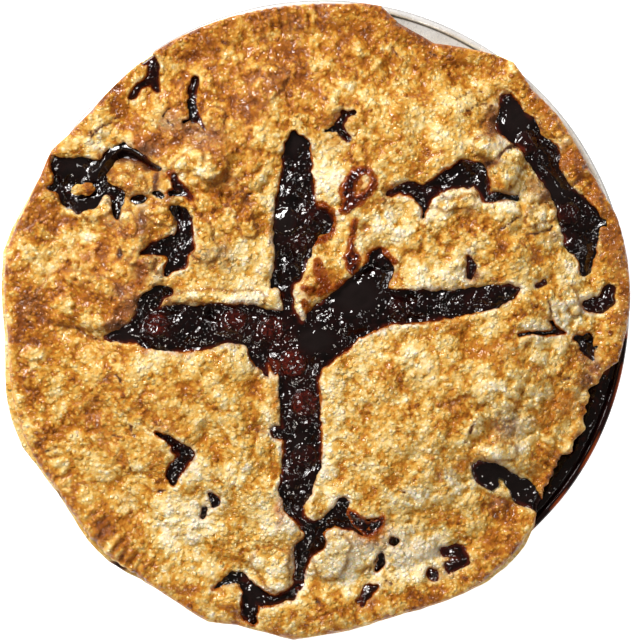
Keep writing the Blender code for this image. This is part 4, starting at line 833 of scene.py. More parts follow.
def crust_relief(x, y):
    """Heaps, flakes and grains of the lid."""
    calm = patches(x, y, CALM)
    heaped = patches(x, y, HEAPED)
    wx, wy = wander(x, y, 1.5, 7.0, 31)
    wx, wy = wander(wx, wy, 0.45, 2.4, 33)
    big = lumps(wx, wy, 11.0, 41) - 0.45
    middle = lumps(wx, wy, 5.2, 42) - 0.45
    small = lumps(wx, wy, 2.3, 43) - 0.45
    rough = 0.36 + 0.30 * noise(x, y, 14.0, 45) + 0.80 * heaped
    rough = np.clip(rough, 0.18, 1.2) * (1.0 - 0.7 * calm)
    height = (1.0 + 1.5 * heaped) * (1.0 - 0.5 * calm) * big + (0.25 + 1.15 * rough) * middle
    height = height + (0.48 + 0.80 * rough) * small
    return height + (0.14 + 0.18 * rough) * noise(x, y, 1.2, 44)


def lid_top(x, y):
    """Upper face of the lid with crags, knobs, folds, fork marks, cracks and worn edges."""
    radius, angle = polar(x, y)
    edge = lid_radius(angle) - radius
    vent = crust_distance(x, y)
    rough = 1.0 - 0.35 * smooth_step(100.0, 112.0, radius)
    height = lid_smooth_top(x, y)
    height = height + rough * (1.4 * noise(x, y, 13.0, 1) + 0.8 * noise(x, y, 6.0, 2))
    height = height + (0.35 + 0.65 * rough) * crust_relief(x, y)
    for px, py, reach, rise in KNOBS:
        cx, cy = photo_point(px, py)
        away = ((x - cx) ** 2 + (y - cy) ** 2) / (reach * PIXEL) ** 2
        height = height + rise * np.exp(-away ** 1.5)
    height = height + ledges(x, y)
    for fold, depth in FOLDS:
        height = height - depth * (1.0 - smooth_step(-1.0, 4.0, stroke_distance(x, y, fold)))
    band = smooth_step(0.5, 2.0, edge) * (1.0 - smooth_step(8.0, 11.0, edge))
    height = height - CRIMP_DEPTH * crimp(angle) * np.maximum(band, 0.45 * (edge < 2.0))
    height = height - 1.0 * crack_depth(x, y)
    height = height - 1.5 * (1.0 - round_over(vent / 2.4))
    return height - 1.7 * (1.0 - round_over(edge / 3.0))


def ledge_distances(x, y):
    """Distance to the edge of each lobe that ends in a step, with its height."""
    wx, wy = wander(x, y, 1.2, 4.5, 51)
    wx, wy = wander(wx, wy, 0.5, 1.8, 53)
    for line, rise in LEDGES:
        yield stroke_distance(wx, wy, photo_stroke(line)), rise


def ledges(x, y):
    """Height of the lobes that end in a step."""
    height = np.zeros(np.shape(x))
    for distance, rise in ledge_distances(x, y):
        height = np.maximum(height, rise * round_over(-distance / 2.2))
    return height


def ledge_feet(x, y):
    """Shade at the foot of those steps: 1 right beside a lobe, 0 away from it and on it."""
    nearest = np.full(np.shape(x), FAR)
    for distance, rise in ledge_distances(x, y):
        nearest = np.minimum(nearest, distance + 0.5 * (2.0 - rise))
    return smooth_step(-0.5, 0.1, nearest) * (1.0 - smooth_step(0.2, 1.5, nearest))


def round_over(t):
    """Quarter circle: 0 at the very edge, 1 from t = 1 on."""
    t = np.clip(t, 0.0, 1.0)
    return np.sqrt(1.0 - (1.0 - t) ** 2)


def filling_relief(x, y):
    """Berries, wrinkles and smooth pools of the filling."""
    pool = patches(x, y, JAM_POOLS)
    wx, wy = wander(x, y, 1.2, 5.0, 71)
    berries = 2.2 * (lumps(wx, wy, 8.5, 72) - 0.5)
    fx, fy = wander(x, y, 1.5, 3.2, 73)
    fx, fy = wander(fx, fy, 0.6, 1.5, 78)
    folds = 1.0 - np.abs(noise(fx, fy, 3.6, 75))
    creases = 1.0 - np.abs(noise(fx, fy, 2.1, 76))
    wrinkles = 0.85 * (folds - 0.6) + 0.50 * (creases - 0.6)
    ripples = 0.75 * noise(x, y, 5.5, 79) + 0.40 * (lumps(wx, wy, 4.2, 80) - 0.4)
    return (1.0 - pool) * (berries + wrinkles) + pool * ripples


def named_berries(x, y):
    """Height of the whole berries that stand up in the filling."""
    height = np.zeros(np.shape(x))
    for bx, by, size in BERRIES:
        reach = np.clip(1.0 - ((x - bx) ** 2 + (y - by) ** 2) / size ** 2, 0.0, 1.0)
        height = height + 1.9 * np.sqrt(reach)
    return height


def berry_skin(x, y):
    """Maroon of the berry skins: strongest on the whole berries, soft elsewhere."""
    wx, wy = wander(x, y, 0.8, 2.5, 101)
    skin = 0.6 * patches(wx, wy, MAROON)
    for (bx, by, size), strength in zip(BERRIES, BERRY_RED):
        away = np.hypot(wx - bx, wy - by) / size
        skin = np.maximum(skin, strength * (1.0 - smooth_step(0.75, 1.05, away)))
    return skin * (0.75 + 0.35 * noise(x, y, 1.6, 103))


def filling_high(x, y):
    """Filling where a vent bares it."""
    vent = filling_vent(x, y)
    flush = smooth_step(100.0, 60.0, np.hypot(x - 92.0, y - 45.0) * 2.0)
    flush = np.maximum(flush, smooth_step(30.0, 20.0, np.hypot(x - 76.0, y + 72.0)))
    depth = 2.6 - 1.7 * flush - 0.8 * smooth_step(1.0, 6.0, vent)
    inside = smooth_step(-0.5, 1.8, vent)
    high = lid_smooth_top(x, y) - depth + named_berries(x, y)
    return high + (0.3 + 0.7 * inside) * filling_relief(x, y)


def filling_top(x, y):
    """Filling: just under the lid, and swollen up in the vents."""
    radius = np.hypot(x, y)
    vent = filling_vent(x, y)
    low = lid_under(x, y) - UNDER_LID_GAP
    shelf = smooth_step(FILLING_RADIUS - 0.4, FILLING_RADIUS + 1.0, radius)
    low = low * (1.0 - shelf) + (LID_SEAT + 1.1) * shelf
    rise = smooth_step(-1.2, -0.4, vent)
    return low * (1.0 - rise) + filling_high(x, y) * rise


def filling_bottom(x, y):
    """Filling: on the floor, up the wall and over the lip of the bottom crust."""
    return from_section(FILLING_UNDER, np.hypot(x, y))


def filling_distance(x, y):
    """Above zero inside the filling's plan."""
    radius, angle = polar(x, y)
    in_vent = np.minimum(filling_vent(x, y) + 0.9, outline_radius(angle) - 2.0 - radius)
    return np.maximum(FILLING_RADIUS - radius, in_vent)


def lid_distance(x, y):
    """Above zero inside the lid's plan."""
    radius, angle = polar(x, y)
    return np.minimum(lid_radius(angle) - radius, crust_distance(x, y))


def contour_loops(distance, step):
    """Closed outlines where a distance function is zero, with its inside on their left."""
    axis = np.arange(-GRID_REACH, GRID_REACH, step)
    x, y = np.meshgrid(axis, axis, indexing="ij")
    value = distance(x, y)
    inside = value > 0.0
    count = inside[:-1, :-1].astype(int) + inside[1:, :-1] + inside[1:, 1:] + inside[:-1, 1:]
    follow = {}
    for i, j in zip(*np.nonzero((count > 0) & (count < 4))):
        follow.update(cell_steps(inside, int(i), int(j)))
    loops = []
    while follow:
        start, key = follow.popitem()
        chain = [start]
        while key != start:
            chain.append(key)
            key = follow.pop(key)
        loops.append(np.array([crossing(axis, value, key) for key in chain]))
    return loops


def cell_steps(inside, i, j):
    """Links from the side where the outline enters a cell to the side where it leaves."""
    corners = [(i, j), (i + 1, j), (i + 1, j + 1), (i, j + 1)]
    sides = [("x", i, j), ("y", i + 1, j), ("x", i, j + 1), ("y", i, j)]
    state = [bool(inside[c]) for c in corners]
    links = {}
    for k in range(4):
        if state[k] and not state[(k + 1) % 4]:
            n = (k + 1) % 4
            while state[n] or not state[(n + 1) % 4]:
                n = (n + 1) % 4
            links[sides[k]] = sides[n]
    return links


def crossing(axis, value, key):
    """Point of a cell side where the value is zero."""
    kind, i, j = key
    if kind == "x":
        t = value[i, j] / (value[i, j] - value[i + 1, j])
        return (axis[i] + t * (axis[i + 1] - axis[i]), axis[j])
    t = value[i, j] / (value[i, j] - value[i, j + 1])
    return (axis[i], axis[j] + t * (axis[j + 1] - axis[j]))


def loop_area(loop):
    """Signed area of a closed outline."""
    x, y = loop[:, 0], loop[:, 1]
    return 0.5 * float(np.sum(x * np.roll(y, -1) - np.roll(x, -1) * y))


def thin_out(loop, gap):
    """A closed outline without points that crowd each other."""
    kept = [loop[0]]
    for point in loop[1:]:
        if math.dist(point, kept[-1]) > gap and math.dist(point, kept[0]) > gap:
            kept.append(point)
    return np.array(kept)


def region_loops(distance, step, smallest):
    """The largest outline of a region and its holes from a smallest area on, without islands."""
    loops = contour_loops(distance, step)
    outer = max(loops, key=loop_area)
    holes = [loop for loop in loops if loop_area(loop) < -smallest]
    return [thin_out(loop, 0.6 * step) for loop in [outer] + holes]


def triangulate(loops, points):
    """Triangles of the region inside the loops."""
    coords = [p for loop in loops for p in loop]
    edges = []
    start = 0
    for loop in loops:
        size = len(loop)
        edges += [(start + k, start + (k + 1) % size) for k in range(size)]
        start += size
    coords += list(points)
    flat = [Vector((float(p[0]), float(p[1]))) for p in coords]
    result = delaunay_2d_cdt(flat, edges, [], 0, 1e-5)
    borders = {tuple(sorted(line)) for line, source in zip(result[1], result[4]) if source}
    return np.array([(v.x, v.y) for v in result[0]]), inside_faces(result[2], borders)


def inside_faces(faces, borders):
    """Faces that lie an odd number of borders in from the outside."""
    owners = {}
    for index, face in enumerate(faces):
        for k in range(3):
            key = tuple(sorted((face[k], face[(k + 1) % 3])))
            owners.setdefault(key, []).append(index)
    state = {}
    stack = []
    for key, own in owners.items():
        if len(own) == 1 and own[0] not in state:
            state[own[0]] = key in borders
            stack.append(own[0])
    while stack:
        index = stack.pop()
        face = faces[index]
        for k in range(3):
            key = tuple(sorted((face[k], face[(k + 1) % 3])))
            for other in owners[key]:
                if other not in state:
                    state[other] = state[index] != (key in borders)
                    stack.append(other)
    return [tuple(face) for index, face in enumerate(faces) if state[index]]


def hex_points(spacing, reach, jitter):
    """Staggered points over a disc, each moved a little."""
    rows = int(reach / (spacing * 0.866)) + 1
    columns = int(reach / spacing) + 1
    i, j = np.meshgrid(np.arange(-columns, columns + 1), np.arange(-rows, rows + 1))
    x = spacing * (i + 0.5 * (j % 2)) + jitter * spacing * corner_value(i, j, 21)
    y = spacing * 0.866 * j + jitter * spacing * corner_value(i, j, 22)
    inside = np.hypot(x, y) < reach
    return np.stack([x[inside], y[inside]], axis=1)


def keep_inside(points, distance, margin):
    """The points that lie inside a region by more than a margin."""
    return points[distance(points[:, 0], points[:, 1]) > margin]


def ring_points(radius, angles):
    """Points round the axis; the radius may change with the angle."""
    turn = np.radians(angles)
    radius = radius + np.zeros(len(turn))
    return np.stack([radius * np.cos(turn), radius * np.sin(turn)], axis=1)


def offset_points(distance, inset, step):
    """Points along the line that lies a given distance inside a region's edge."""
    loops = contour_loops(lambda x, y: distance(x, y) - inset, step)
    return np.vstack([thin_out(loop, 0.9 * step) for loop in loops if len(loop) > 6])


def make_mesh(name, verts, faces, material):
    """A smooth-shaded mesh object from millimetre points."""
    mesh = bpy.data.meshes.new(name)
    mesh.from_pydata([tuple(MM * float(c) for c in v) for v in verts], [], faces)
    mesh.materials.append(material)
    mesh.shade_smooth()
    piece = bpy.data.objects.new(name, mesh)
    bpy.context.scene.collection.objects.link(piece)
    return piece


def paint(piece, **layers):
    """Stores numbers for the vertices, under names that a material can read."""
    for name, values in layers.items():
        layer = piece.data.attributes.new(name, "FLOAT", "POINT")
        values = np.clip(values, 0.0, 1.0) + np.zeros(len(piece.data.vertices))
        layer.data.foreach_set("value", values.astype(np.float32))


def plan_of(piece):
    """Vertex coordinates of a piece in millimetres, as three arrays."""
    flat = np.empty(3 * len(piece.data.vertices), dtype=np.float32)
    piece.data.vertices.foreach_get("co", flat)
    return flat.reshape(-1, 3).T.astype(float) / MM


def make_slab(name, loops, top_points, bottom_points, top, bottom, material):
    """A closed solid between two height functions over one region."""
    top_xy, top_faces = triangulate(loops, top_points)
    low_xy, low_faces = triangulate(loops, bottom_points)
    verts = [(x, y, z) for (x, y), z in zip(top_xy, top(top_xy[:, 0], top_xy[:, 1]))]
    verts += [(x, y, z) for (x, y), z in zip(low_xy, bottom(low_xy[:, 0], low_xy[:, 1]))]
    base = len(top_xy)
    below = {(round(x, 3), round(y, 3)): base + k for k, (x, y) in enumerate(low_xy)}
    faces = list(top_faces)
    faces += [(base + c, base + b, base + a) for a, b, c in low_faces]
    directed = {(f[k], f[(k + 1) % 3]) for f in top_faces for k in range(3)}
    for a, b in sorted(directed):
        if (b, a) not in directed:
            low_a = below[(round(top_xy[a][0], 3), round(top_xy[a][1], 3))]
            low_b = below[(round(top_xy[b][0], 3), round(top_xy[b][1], 3))]
            faces += [(b, a, low_a), (b, low_a, low_b)]
    return make_mesh(name, verts, faces, material)


def wire(tree, source, target):
    """Joins a socket, or puts a plain value into it."""
    if isinstance(source, bpy.types.NodeSocket):
        tree.links.new(source, target)
    else:
        target.default_value = source


def settle(tree, node, inputs):
    """Joins sockets, or puts plain values, into the named inputs of a node."""
    for name, source in inputs.items():
        wire(tree, source, node.inputs[name])


def new_material(name):
    """An empty Principled material: material, node tree and shader."""
    material = bpy.data.materials.new(name)
    material.use_nodes = True
    tree = material.node_tree
    return material, tree, tree.nodes["Principled BSDF"]


def painted(tree, name):
    """The number painted on the vertices under a name."""
    node = tree.nodes.new("ShaderNodeAttribute")
    node.attribute_name = name
    return node.outputs["Fac"]


def grain(tree, size, detail=3.0, roughness=0.55, distortion=0.0):
    """Noise from 0 to 1 with features of a size in millimetres."""
    place = tree.nodes.new("ShaderNodeTexCoord")
    node = tree.nodes.new("ShaderNodeTexNoise")
    settle(tree, node, {"Vector": place.outputs["Object"], "Scale": 1.0 / (size * MM),
                        "Detail": detail, "Roughness": roughness, "Distortion": distortion})
    return node.outputs["Fac"]


def cells(tree, size, smooth=0.4):
    """Distance to scattered points, from 0 at a point, with cells of a size in millimetres."""
    place = tree.nodes.new("ShaderNodeTexCoord")
    node = tree.nodes.new("ShaderNodeTexVoronoi")
    node.feature = "SMOOTH_F1"
    settle(tree, node, {"Vector": place.outputs["Object"], "Scale": 1.0 / (size * MM),
                        "Smoothness": smooth})
    return node.outputs["Distance"]


def sums(tree, operation, first, second, clamp=False):
    """One step of arithmetic."""
    node = tree.nodes.new("ShaderNodeMath")
    node.operation = operation
    node.use_clamp = clamp
    wire(tree, first, node.inputs[0])
    wire(tree, second, node.inputs[1])
    return node.outputs[0]


def spread(tree, value, low, high, to_low=0.0, to_high=1.0):
    """A value stretched from one range to another and kept in it."""
    node = tree.nodes.new("ShaderNodeMapRange")
    settle(tree, node, {"Value": value, "From Min": low, "From Max": high,
                        "To Min": to_low, "To Max": to_high})
    return node.outputs["Result"]


def blended(tree, factor, first, second):
    """Two colours mixed by a factor."""
    node = tree.nodes.new("ShaderNodeMix")
    node.data_type = "RGBA"
    wire(tree, factor, node.inputs["Factor"])
    for value, socket in ((first, node.inputs[6]), (second, node.inputs[7])):
        if isinstance(value, tuple):
            socket.default_value = (*value, 1.0)
        else:
            tree.links.new(value, socket)
    return node.outputs[2]


def ramp(tree, value, stops):
    """A colour for each value, read between stops of (place, colour)."""
    node = tree.nodes.new("ShaderNodeValToRGB")
    wire(tree, value, node.inputs["Fac"])
    band = node.color_ramp
    while len(band.elements) < len(stops):
        band.elements.new(1.0)
    for element, (place, colour) in zip(band.elements, stops):
        element.position = place
        element.color = (*colour, 1.0)
    return node.outputs["Color"]


def bumped(tree, height, depth, under=None):
    """A normal raised by a height from 0 to 1, with a depth in millimetres."""
    node = tree.nodes.new("ShaderNodeBump")
    settle(tree, node, {"Strength": 1.0, "Distance": depth * MM, "Height": height})
    if under is not None:
        settle(tree, node, {"Normal": under})
    return node.outputs["Normal"]


# Baked pastry from floury to dark brown.
PASTRY = [
    (0.00, (0.95, 0.86, 0.66)), (0.16, (0.90, 0.73, 0.40)), (0.32, (0.80, 0.575, 0.215)),
    (0.48, (0.68, 0.388, 0.078)), (0.63, (0.57, 0.250, 0.024)), (0.78, (0.42, 0.135, 0.008)),
    (0.90, (0.31, 0.092, 0.006)), (1.00, (0.20, 0.050, 0.004)),
]


def domes(tree, size, smooth=0.0):
    """Small round swellings, 1 on top and 0 at the foot, spaced by a size in millimetres."""
    away = cells(tree, size, smooth)
    fall = sums(tree, "MULTIPLY", sums(tree, "MULTIPLY", away, away), 4.0)
    return sums(tree, "SUBTRACT", 1.0, fall, True)


def bubble_spots(tree):
    """Small bubbles that baked into the crust, in scattered groups."""
    spot = spread(tree, cells(tree, 3.4, 0.15), 0.20, 0.42, 1.0, 0.0)
    groups = spread(tree, grain(tree, 9.0, 1.0), 0.50, 0.58)
    return sums(tree, "MULTIPLY", spot, groups)


def crust_material(name, gloss):
    """Egg-washed pastry: browning, floury places, juice stains, red film, cracks, painted shade."""
    material, tree, shader = new_material(name)
    speckle = spread(tree, grain(tree, 1.1, 3.0, 0.6), 0.3, 0.7, -0.08, 0.08)
    mottle = spread(tree, grain(tree, 4.0, 3.0, 0.55, 0.8), 0.3, 0.7, -0.09, 0.09)
    bubbles = bubble_spots(tree)
    granules = domes(tree, 1.9)
    bake = sums(tree, "ADD", painted(tree, "bake"), speckle)
    bake = sums(tree, "ADD", bake, sums(tree, "MULTIPLY", bubbles, 0.20))
    # Granules painted paler at their crest and darker at the foot.
    bake = sums(tree, "ADD", bake, spread(tree, granules, 0.0, 0.8, 0.09, -0.10))
    bake = sums(tree, "ADD", bake, mottle, True)
    colour = ramp(tree, bake, PASTRY)
    blotchy = spread(tree, grain(tree, 1.8), 0.3, 0.6)
    purple = sums(tree, "MULTIPLY", painted(tree, "stain"), blotchy)
    colour = blended(tree, purple, colour, (0.20, 0.125, 0.115))
    uneven = spread(tree, grain(tree, 2.2), 0.3, 0.6, 0.7, 1.3)
    film = sums(tree, "MULTIPLY", painted(tree, "film"), uneven)
    colour = blended(tree, spread(tree, film, 0.05, 0.50), colour, (0.44, 0.130, 0.009))
    colour = blended(tree, spread(tree, film, 0.35, 0.95), colour, (0.190, 0.028, 0.002))
    # Juice-dark crust and painted shade in cracks and beside steps: brown, then near black.
    dark = painted(tree, "dark")
    colour = blended(tree, spread(tree, dark, 0.0, 0.60), colour, (0.27, 0.095, 0.025))
    colour = blended(tree, spread(tree, dark, 0.35, 0.95), colour, (0.026, 0.008, 0.006))
    dry = spread(tree, grain(tree, 3.0, 3.0), 0.35, 0.65, 0.38, 0.62)
    wet = sums(tree, "MULTIPLY", film, 0.35)
    raised = spread(tree, grain(tree, 2.6, 1.0), 0.36, 0.56, 0.3, 1.0)
    blisters = sums(tree, "MULTIPLY", granules, raised)
    swollen = bumped(tree, sums(tree, "ADD", blisters, bubbles), 0.62)
    settle(tree, shader, {
        "Base Color": colour,
        "Roughness": sums(tree, "SUBTRACT", dry, wet),
        "Coat Weight": sums(tree, "MULTIPLY", painted(tree, "wash"), gloss),
        "Coat Roughness": 0.06,
        "Specular IOR Level": 0.10,
        "Subsurface Weight": 0.22,
        "Subsurface Radius": (1.0, 0.5, 0.2),
        "Subsurface Scale": 0.0014,
        "Normal": bumped(tree, grain(tree, 1.1, 3.0, 0.6), 0.72, swollen),
        "Coat Normal": bumped(tree, grain(tree, 1.5, 1.0, 0.5), 0.40, swollen),
    })
    return material


def filling_material():
    """Wet jam with crinkled skins, near black with maroon where a skin is thin, painted sheen on
    pools.
    """
    material, tree, shader = new_material("berry_filling")
    patchy = spread(tree, grain(tree, 3.0, 4.0, 0.6, 0.8), 0.40, 0.68)
    dark = blended(tree, patchy, (0.002, 0.0008, 0.0010), (0.010, 0.002, 0.002))
    skin = spread(tree, grain(tree, 1.2, 3.0, 0.6), 0.34, 0.66, 0.0, 1.0)
    red = sums(tree, "MULTIPLY", painted(tree, "maroon"), skin)
    colour = blended(tree, red, dark, (0.13, 0.013, 0.007))
    thin = sums(tree, "MULTIPLY", painted(tree, "thin"), 0.9)
    colour = blended(tree, thin, colour, (0.10, 0.011, 0.004))
    calm = painted(tree, "pool")
    # Smooth pools painted a lighter grey-brown: painted sheen for their soft reflection.
    colour = blended(tree, spread(tree, calm, 0.10, 0.80), colour, (0.009, 0.0055, 0.0055))
    rough = spread(tree, grain(tree, 1.6, 3.0), 0.3, 0.7, 0.10, 0.24)
    smooth = sums(tree, "MULTIPLY", calm, -0.14)
    restless = spread(tree, calm, 0.0, 0.8, 1.0, 0.0)
    wrinkle = sums(tree, "MULTIPLY", grain(tree, 2.0, 1.0, 0.4, 0.8), restless)
    normal = bumped(tree, wrinkle, 0.45)
    settle(tree, shader, {
        "Base Color": colour,
        "Roughness": sums(tree, "ADD", rough, smooth, True),
        "Specular IOR Level": 0.04,
        "Coat Weight": 1.0,
        "Coat Roughness": 0.02,
        "Normal": normal,
        "Coat Normal": normal,
    })
    return material


def syrup_material(name):
    """Set syrup: dark red where it is thin, near black where it is thick."""
    material, tree, shader = new_material(name)
    uneven = spread(tree, grain(tree, 2.0), 0.3, 0.7, -0.2, 0.2)
    thick = sums(tree, "ADD", painted(tree, "thick"), uneven, True)
    colour = ramp(tree, thick, [(0.0, (0.30, 0.065, 0.006)), (0.3, (0.150, 0.020, 0.003)),
                                (0.6, (0.035, 0.004, 0.002)), (0.9, (0.004, 0.001, 0.001))])
    ripples = bumped(tree, grain(tree, 2.0, 1.0, 0.4), 0.55)
    settle(tree, shader, {
        "Base Color": colour,
        "Roughness": spread(tree, grain(tree, 2.5), 0.3, 0.7, 0.08, 0.22),
        "Specular IOR Level": 0.06,
        "Coat Weight": 1.0,
        "Coat Roughness": 0.05,
        "Normal": ripples,
        "Coat Normal": ripples,
    })
    return material


def tin_material():
    """Pressed aluminium, with red syrup film baked on where it ran over and painted shade by the
    bead.
    """
    material, tree, shader = new_material("tin_metal")
    smudge = spread(tree, grain(tree, 9.0, 4.0, 0.6), 0.3, 0.7)
    metal = blended(tree, smudge, (0.80, 0.79, 0.78), (0.90, 0.89, 0.88))
    # Painted shade: dark lines in the fold beside the bead and on its outer side.
    metal = blended(tree, painted(tree, "groove"), metal, (0.05, 0.045, 0.045))
    film = painted(tree, "film")
    thick = spread(tree, film, 0.3, 0.8)
    syrup = blended(tree, thick, (0.36, 0.055, 0.006), (0.010, 0.002, 0.002))
    dull = spread(tree, grain(tree, 3.0, 3.0), 0.3, 0.7, 0.20, 0.36)
    sheen = sums(tree, "MULTIPLY", film, 0.24)
    settle(tree, shader, {
        "Base Color": blended(tree, spread(tree, film, 0.0, 0.35), metal, syrup),
        "Metallic": spread(tree, film, 0.2, 0.5, 0.25, 0.0),
        "Roughness": sums(tree, "SUBTRACT", dull, sheen, True),
        "Normal": bumped(tree, grain(tree, 5.0, 3.0, 0.6), 0.25),
    })
    return material


def floor_material():
    """Plain pale table."""
    material, tree, shader = new_material("floor")
    colour = blended(tree, grain(tree, 60.0, 2.0), (0.90, 0.90, 0.90), (0.93, 0.93, 0.93))
    settle(tree, shader, {"Base Color": colour, "Roughness": 0.8,
                          "Emission Color": colour, "Emission Strength": 0.75})
    return material


def bake_and_shade_value(x, y, vent, edge, relief):
    """How far the lid is baked, plus painted shade and painted light: 0 floury, 1 dark brown."""
    wx, wy = wander(x, y, 2.0, 6.0, 81)
    wx, wy = wander(wx, wy, 0.8, 2.2, 83)
    broken = 0.85 + 0.40 * noise(x, y, 3.4, 89) + 0.25 * noise(x, y, 1.7, 90)
    top_half = smooth_step(-60.0, 20.0, y)
    upper_left = smooth_step(0.0, -90.0, x - 0.8 * y)
    outer_band = 1.0 - smooth_step(6.0, 16.0, edge)
    rim = 1.0 - smooth_step(4.0, 12.0, edge)
    rim_edge = 1.0 - smooth_step(0.3, 2.5, edge)
    vent_edge = 1.0 - smooth_step(0.4, 2.2, vent)
    hollow_shade = smooth_step(0.05, -0.55, relief)
    lit_tops = smooth_step(0.1, 0.8, relief)
    value = 0.34 + 0.05 * top_half + 0.12 * upper_left
    value = value + 0.36 * broken * patches(wx, wy, BROWNING_AND_SHADE) - 0.47 * patches(wx, wy, PALE)
    value = value + 0.13 * noise(wx, wy, 9.0, 85) + 0.11 * noise(wx, wy, 4.5, 86)
    value = value + 0.08 * noise(x, y, 2.0, 87) + 0.14 * noise(wx, wy, 3.2, 88) * outer_band
    # Painted shade in hollow places and at the foot of steps, painted light on the crests of heaps.
    value = value + 0.29 * hollow_shade - 0.16 * lit_tops + 0.16 * ledge_feet(x, y)
    value = value + (0.07 + 0.08 * top_half) * rim + 0.12 * rim_edge - 0.24 * vent_edge
    value = np.minimum(value, 0.60 + 0.70 * (value - 0.60))
    # Painted shade on the flap that sank below the hole's upper edge.
    return value + 0.06 * sunk(x, y) / SUNK_DEPTH


def film_lines(x, y):
    """Strength of the thin red film along its lines and round the raised syrup."""
    total = np.zeros(np.shape(x))
    raised = [(stroke, 0.8) for strokes, darkness in SYRUP_SPOTS.values() for stroke in strokes]
    for line, strength in FILM_LINES + raised:
        distance = stroke_distance(x, y, photo_stroke(line))
        total = np.maximum(total, strength * (1.0 - smooth_step(-0.4, 1.3, distance)))
    return total


def build_lid(material):
    """Top crust: domed and craggy, with vents, cracks and a crimped rim."""
    loops = region_loops(lid_distance, EDGE_STEP, smallest=0.8)
    near = [offset_points(lid_distance, inset, LID_SPACING) for inset in (0.45, 1.05)]
    field = keep_inside(hex_points(LID_SPACING, PIE_REACH, 0.2), lid_distance, 1.6)
    low = keep_inside(hex_points(4.0, PIE_REACH, 0.0), lid_distance, 1.2)
    lid = make_slab("top_crust_looks", loops, np.vstack([*near, field]), low, lid_top, lid_under,
                    material)
    paint_crust(lid)
    return lid


def paint_crust(lid):
    """Paints browning, stains, film, cracks, painted shade and light, and egg wash on the lid."""
    x, y, z = plan_of(lid)
    radius, angle = polar(x, y)
    edge = lid_radius(angle) - radius
    vent = crust_distance(x, y)
    relief = crust_relief(x, y)
    under = z < lid_under(x, y) + 0.05
    bake = bake_and_shade_value(x, y, vent, edge, relief)
    # Painted shade in the fork-mark grooves.
    bake = bake + 0.12 * crimp(angle) * (1.0 - smooth_step(7.0, 11.0, edge))
    wx, wy = wander(x, y, 1.0, 3.0, 91)
    film = np.maximum(0.7 * patches(wx, wy, RED_FILM), film_lines(*wander(x, y, 0.6, 2.2, 94)))
    lip = 1.0 - smooth_step(0.1, 0.9 + 0.5 * noise(x, y, 4.0, 92), vent)
    lip = lip * (0.35 + 0.65 * smooth_step(-0.3, 0.4, noise(x, y, 12.0, 100)))
    juice = 0.55 * smooth_step(-0.1, 0.6, noise(x, y, 9.0, 93))
    stain = np.maximum(patches(wx, wy, STAINED), juice * (1.0 - smooth_step(0.3, 3.0, vent)))
    # Juice-dark crust and painted shade from the table, and painted shade at the foot of steps.
    soaked_and_shaded = 0.95 * patches(wx, wy, SOAKED_AND_SHADED) * (0.85 + 0.25 * noise(x, y, 1.8, 99))
    soaked_and_shaded = np.maximum(soaked_and_shaded, 0.42 * ledge_feet(x, y))
    # Painted shade along the fine cracks.
    cracks = 0.85 * crack_depth(x, y) * (vent > 0.3)
    paint(
        lid,
        bake=np.where(under, 0.30, bake),
        stain=np.where(under, 0.0, stain),
        film=np.maximum(film, 0.8 * lip),
        dark=np.maximum(cracks, soaked_and_shaded),
        wash=0.45 + 0.55 * smooth_step(0.25, 0.65, bake),
    )


def build_under_crust(material):
    """Bottom crust: a shell in the tin with an uneven flange."""
    fine = np.arange(0.0, 360.0, 0.4)
    ragged = 0.35 * noise(fine, fine * 0.0, 4.0, 8) + 0.15 * noise(fine, fine * 0.0, 1.2, 9)
    edge = outline_radius(fine) + np.minimum(torn_edge(fine), 0.0) + ragged
    coarse = np.arange(0.0, 360.0, 3.0)
    over = [ring_points(edge - step, fine) for step in (0.5, 1.1, 2.0)]
    over += [ring_points(radius, coarse) for radius in FLOOR_RINGS]
    over += [ring_points(radius, coarse) for radius, height in CRUST_INNER[1:]]
    over += [ring_points(109.5, np.arange(0.0, 360.0, 1.0))]
    under = [ring_points(radius, coarse) for radius in FLOOR_RINGS]
    under += [ring_points(radius, coarse) for radius, height in CRUST_UNDER[1:]]
    under += [ring_points(112.0, coarse), ring_points(np.minimum(DROOP_START, edge - 1.6), fine)]

    def top(x, y):
        radius, angle = polar(x, y)
        away = outline_radius(angle) - radius
        worn = 1.2 * (1.0 - round_over((away + 0.3) / 1.6))
        return crust_inside(x, y) + (0.15 * noise(x, y, 2.0, 95) - worn) * (radius > 108.0)

    crust = make_slab("bottom_crust_looks", [ring_points(edge, fine)], np.vstack(over),
                      np.vstack(under), top, crust_underside, material)
    paint_under_crust(crust)
    return crust


def crust_underside(x, y):
    """Bottom crust: underside, clear of the tin and over its bead."""
    radius = np.hypot(x, y)
    over_bead = 1.2 * smooth_step(112.0, 115.5, radius)
    return from_section(CRUST_UNDER, radius) + over_bead - droop(radius)


def crust_inside(x, y):
    """Bottom crust: inner face and the flat that carries the lid."""
    radius = np.hypot(x, y)
    return from_section(CRUST_INNER, radius) - droop(radius)


def paint_under_crust(crust):
    """Paints the pale band of the bottom crust and its few juice spots."""
    x, y = plan_of(crust)[:2]
    paint(
        crust,
        bake=0.27 + 0.12 * noise(x, y, 9.0, 96) + 0.08 * noise(x, y, 2.5, 97),
        stain=0.25 * smooth_step(0.1, 0.8, noise(x, y, 5.0, 98)),
        film=0.0,
        dark=patches(x, y, UNDER_CRUST_JUICE),
        wash=0.15,
    )


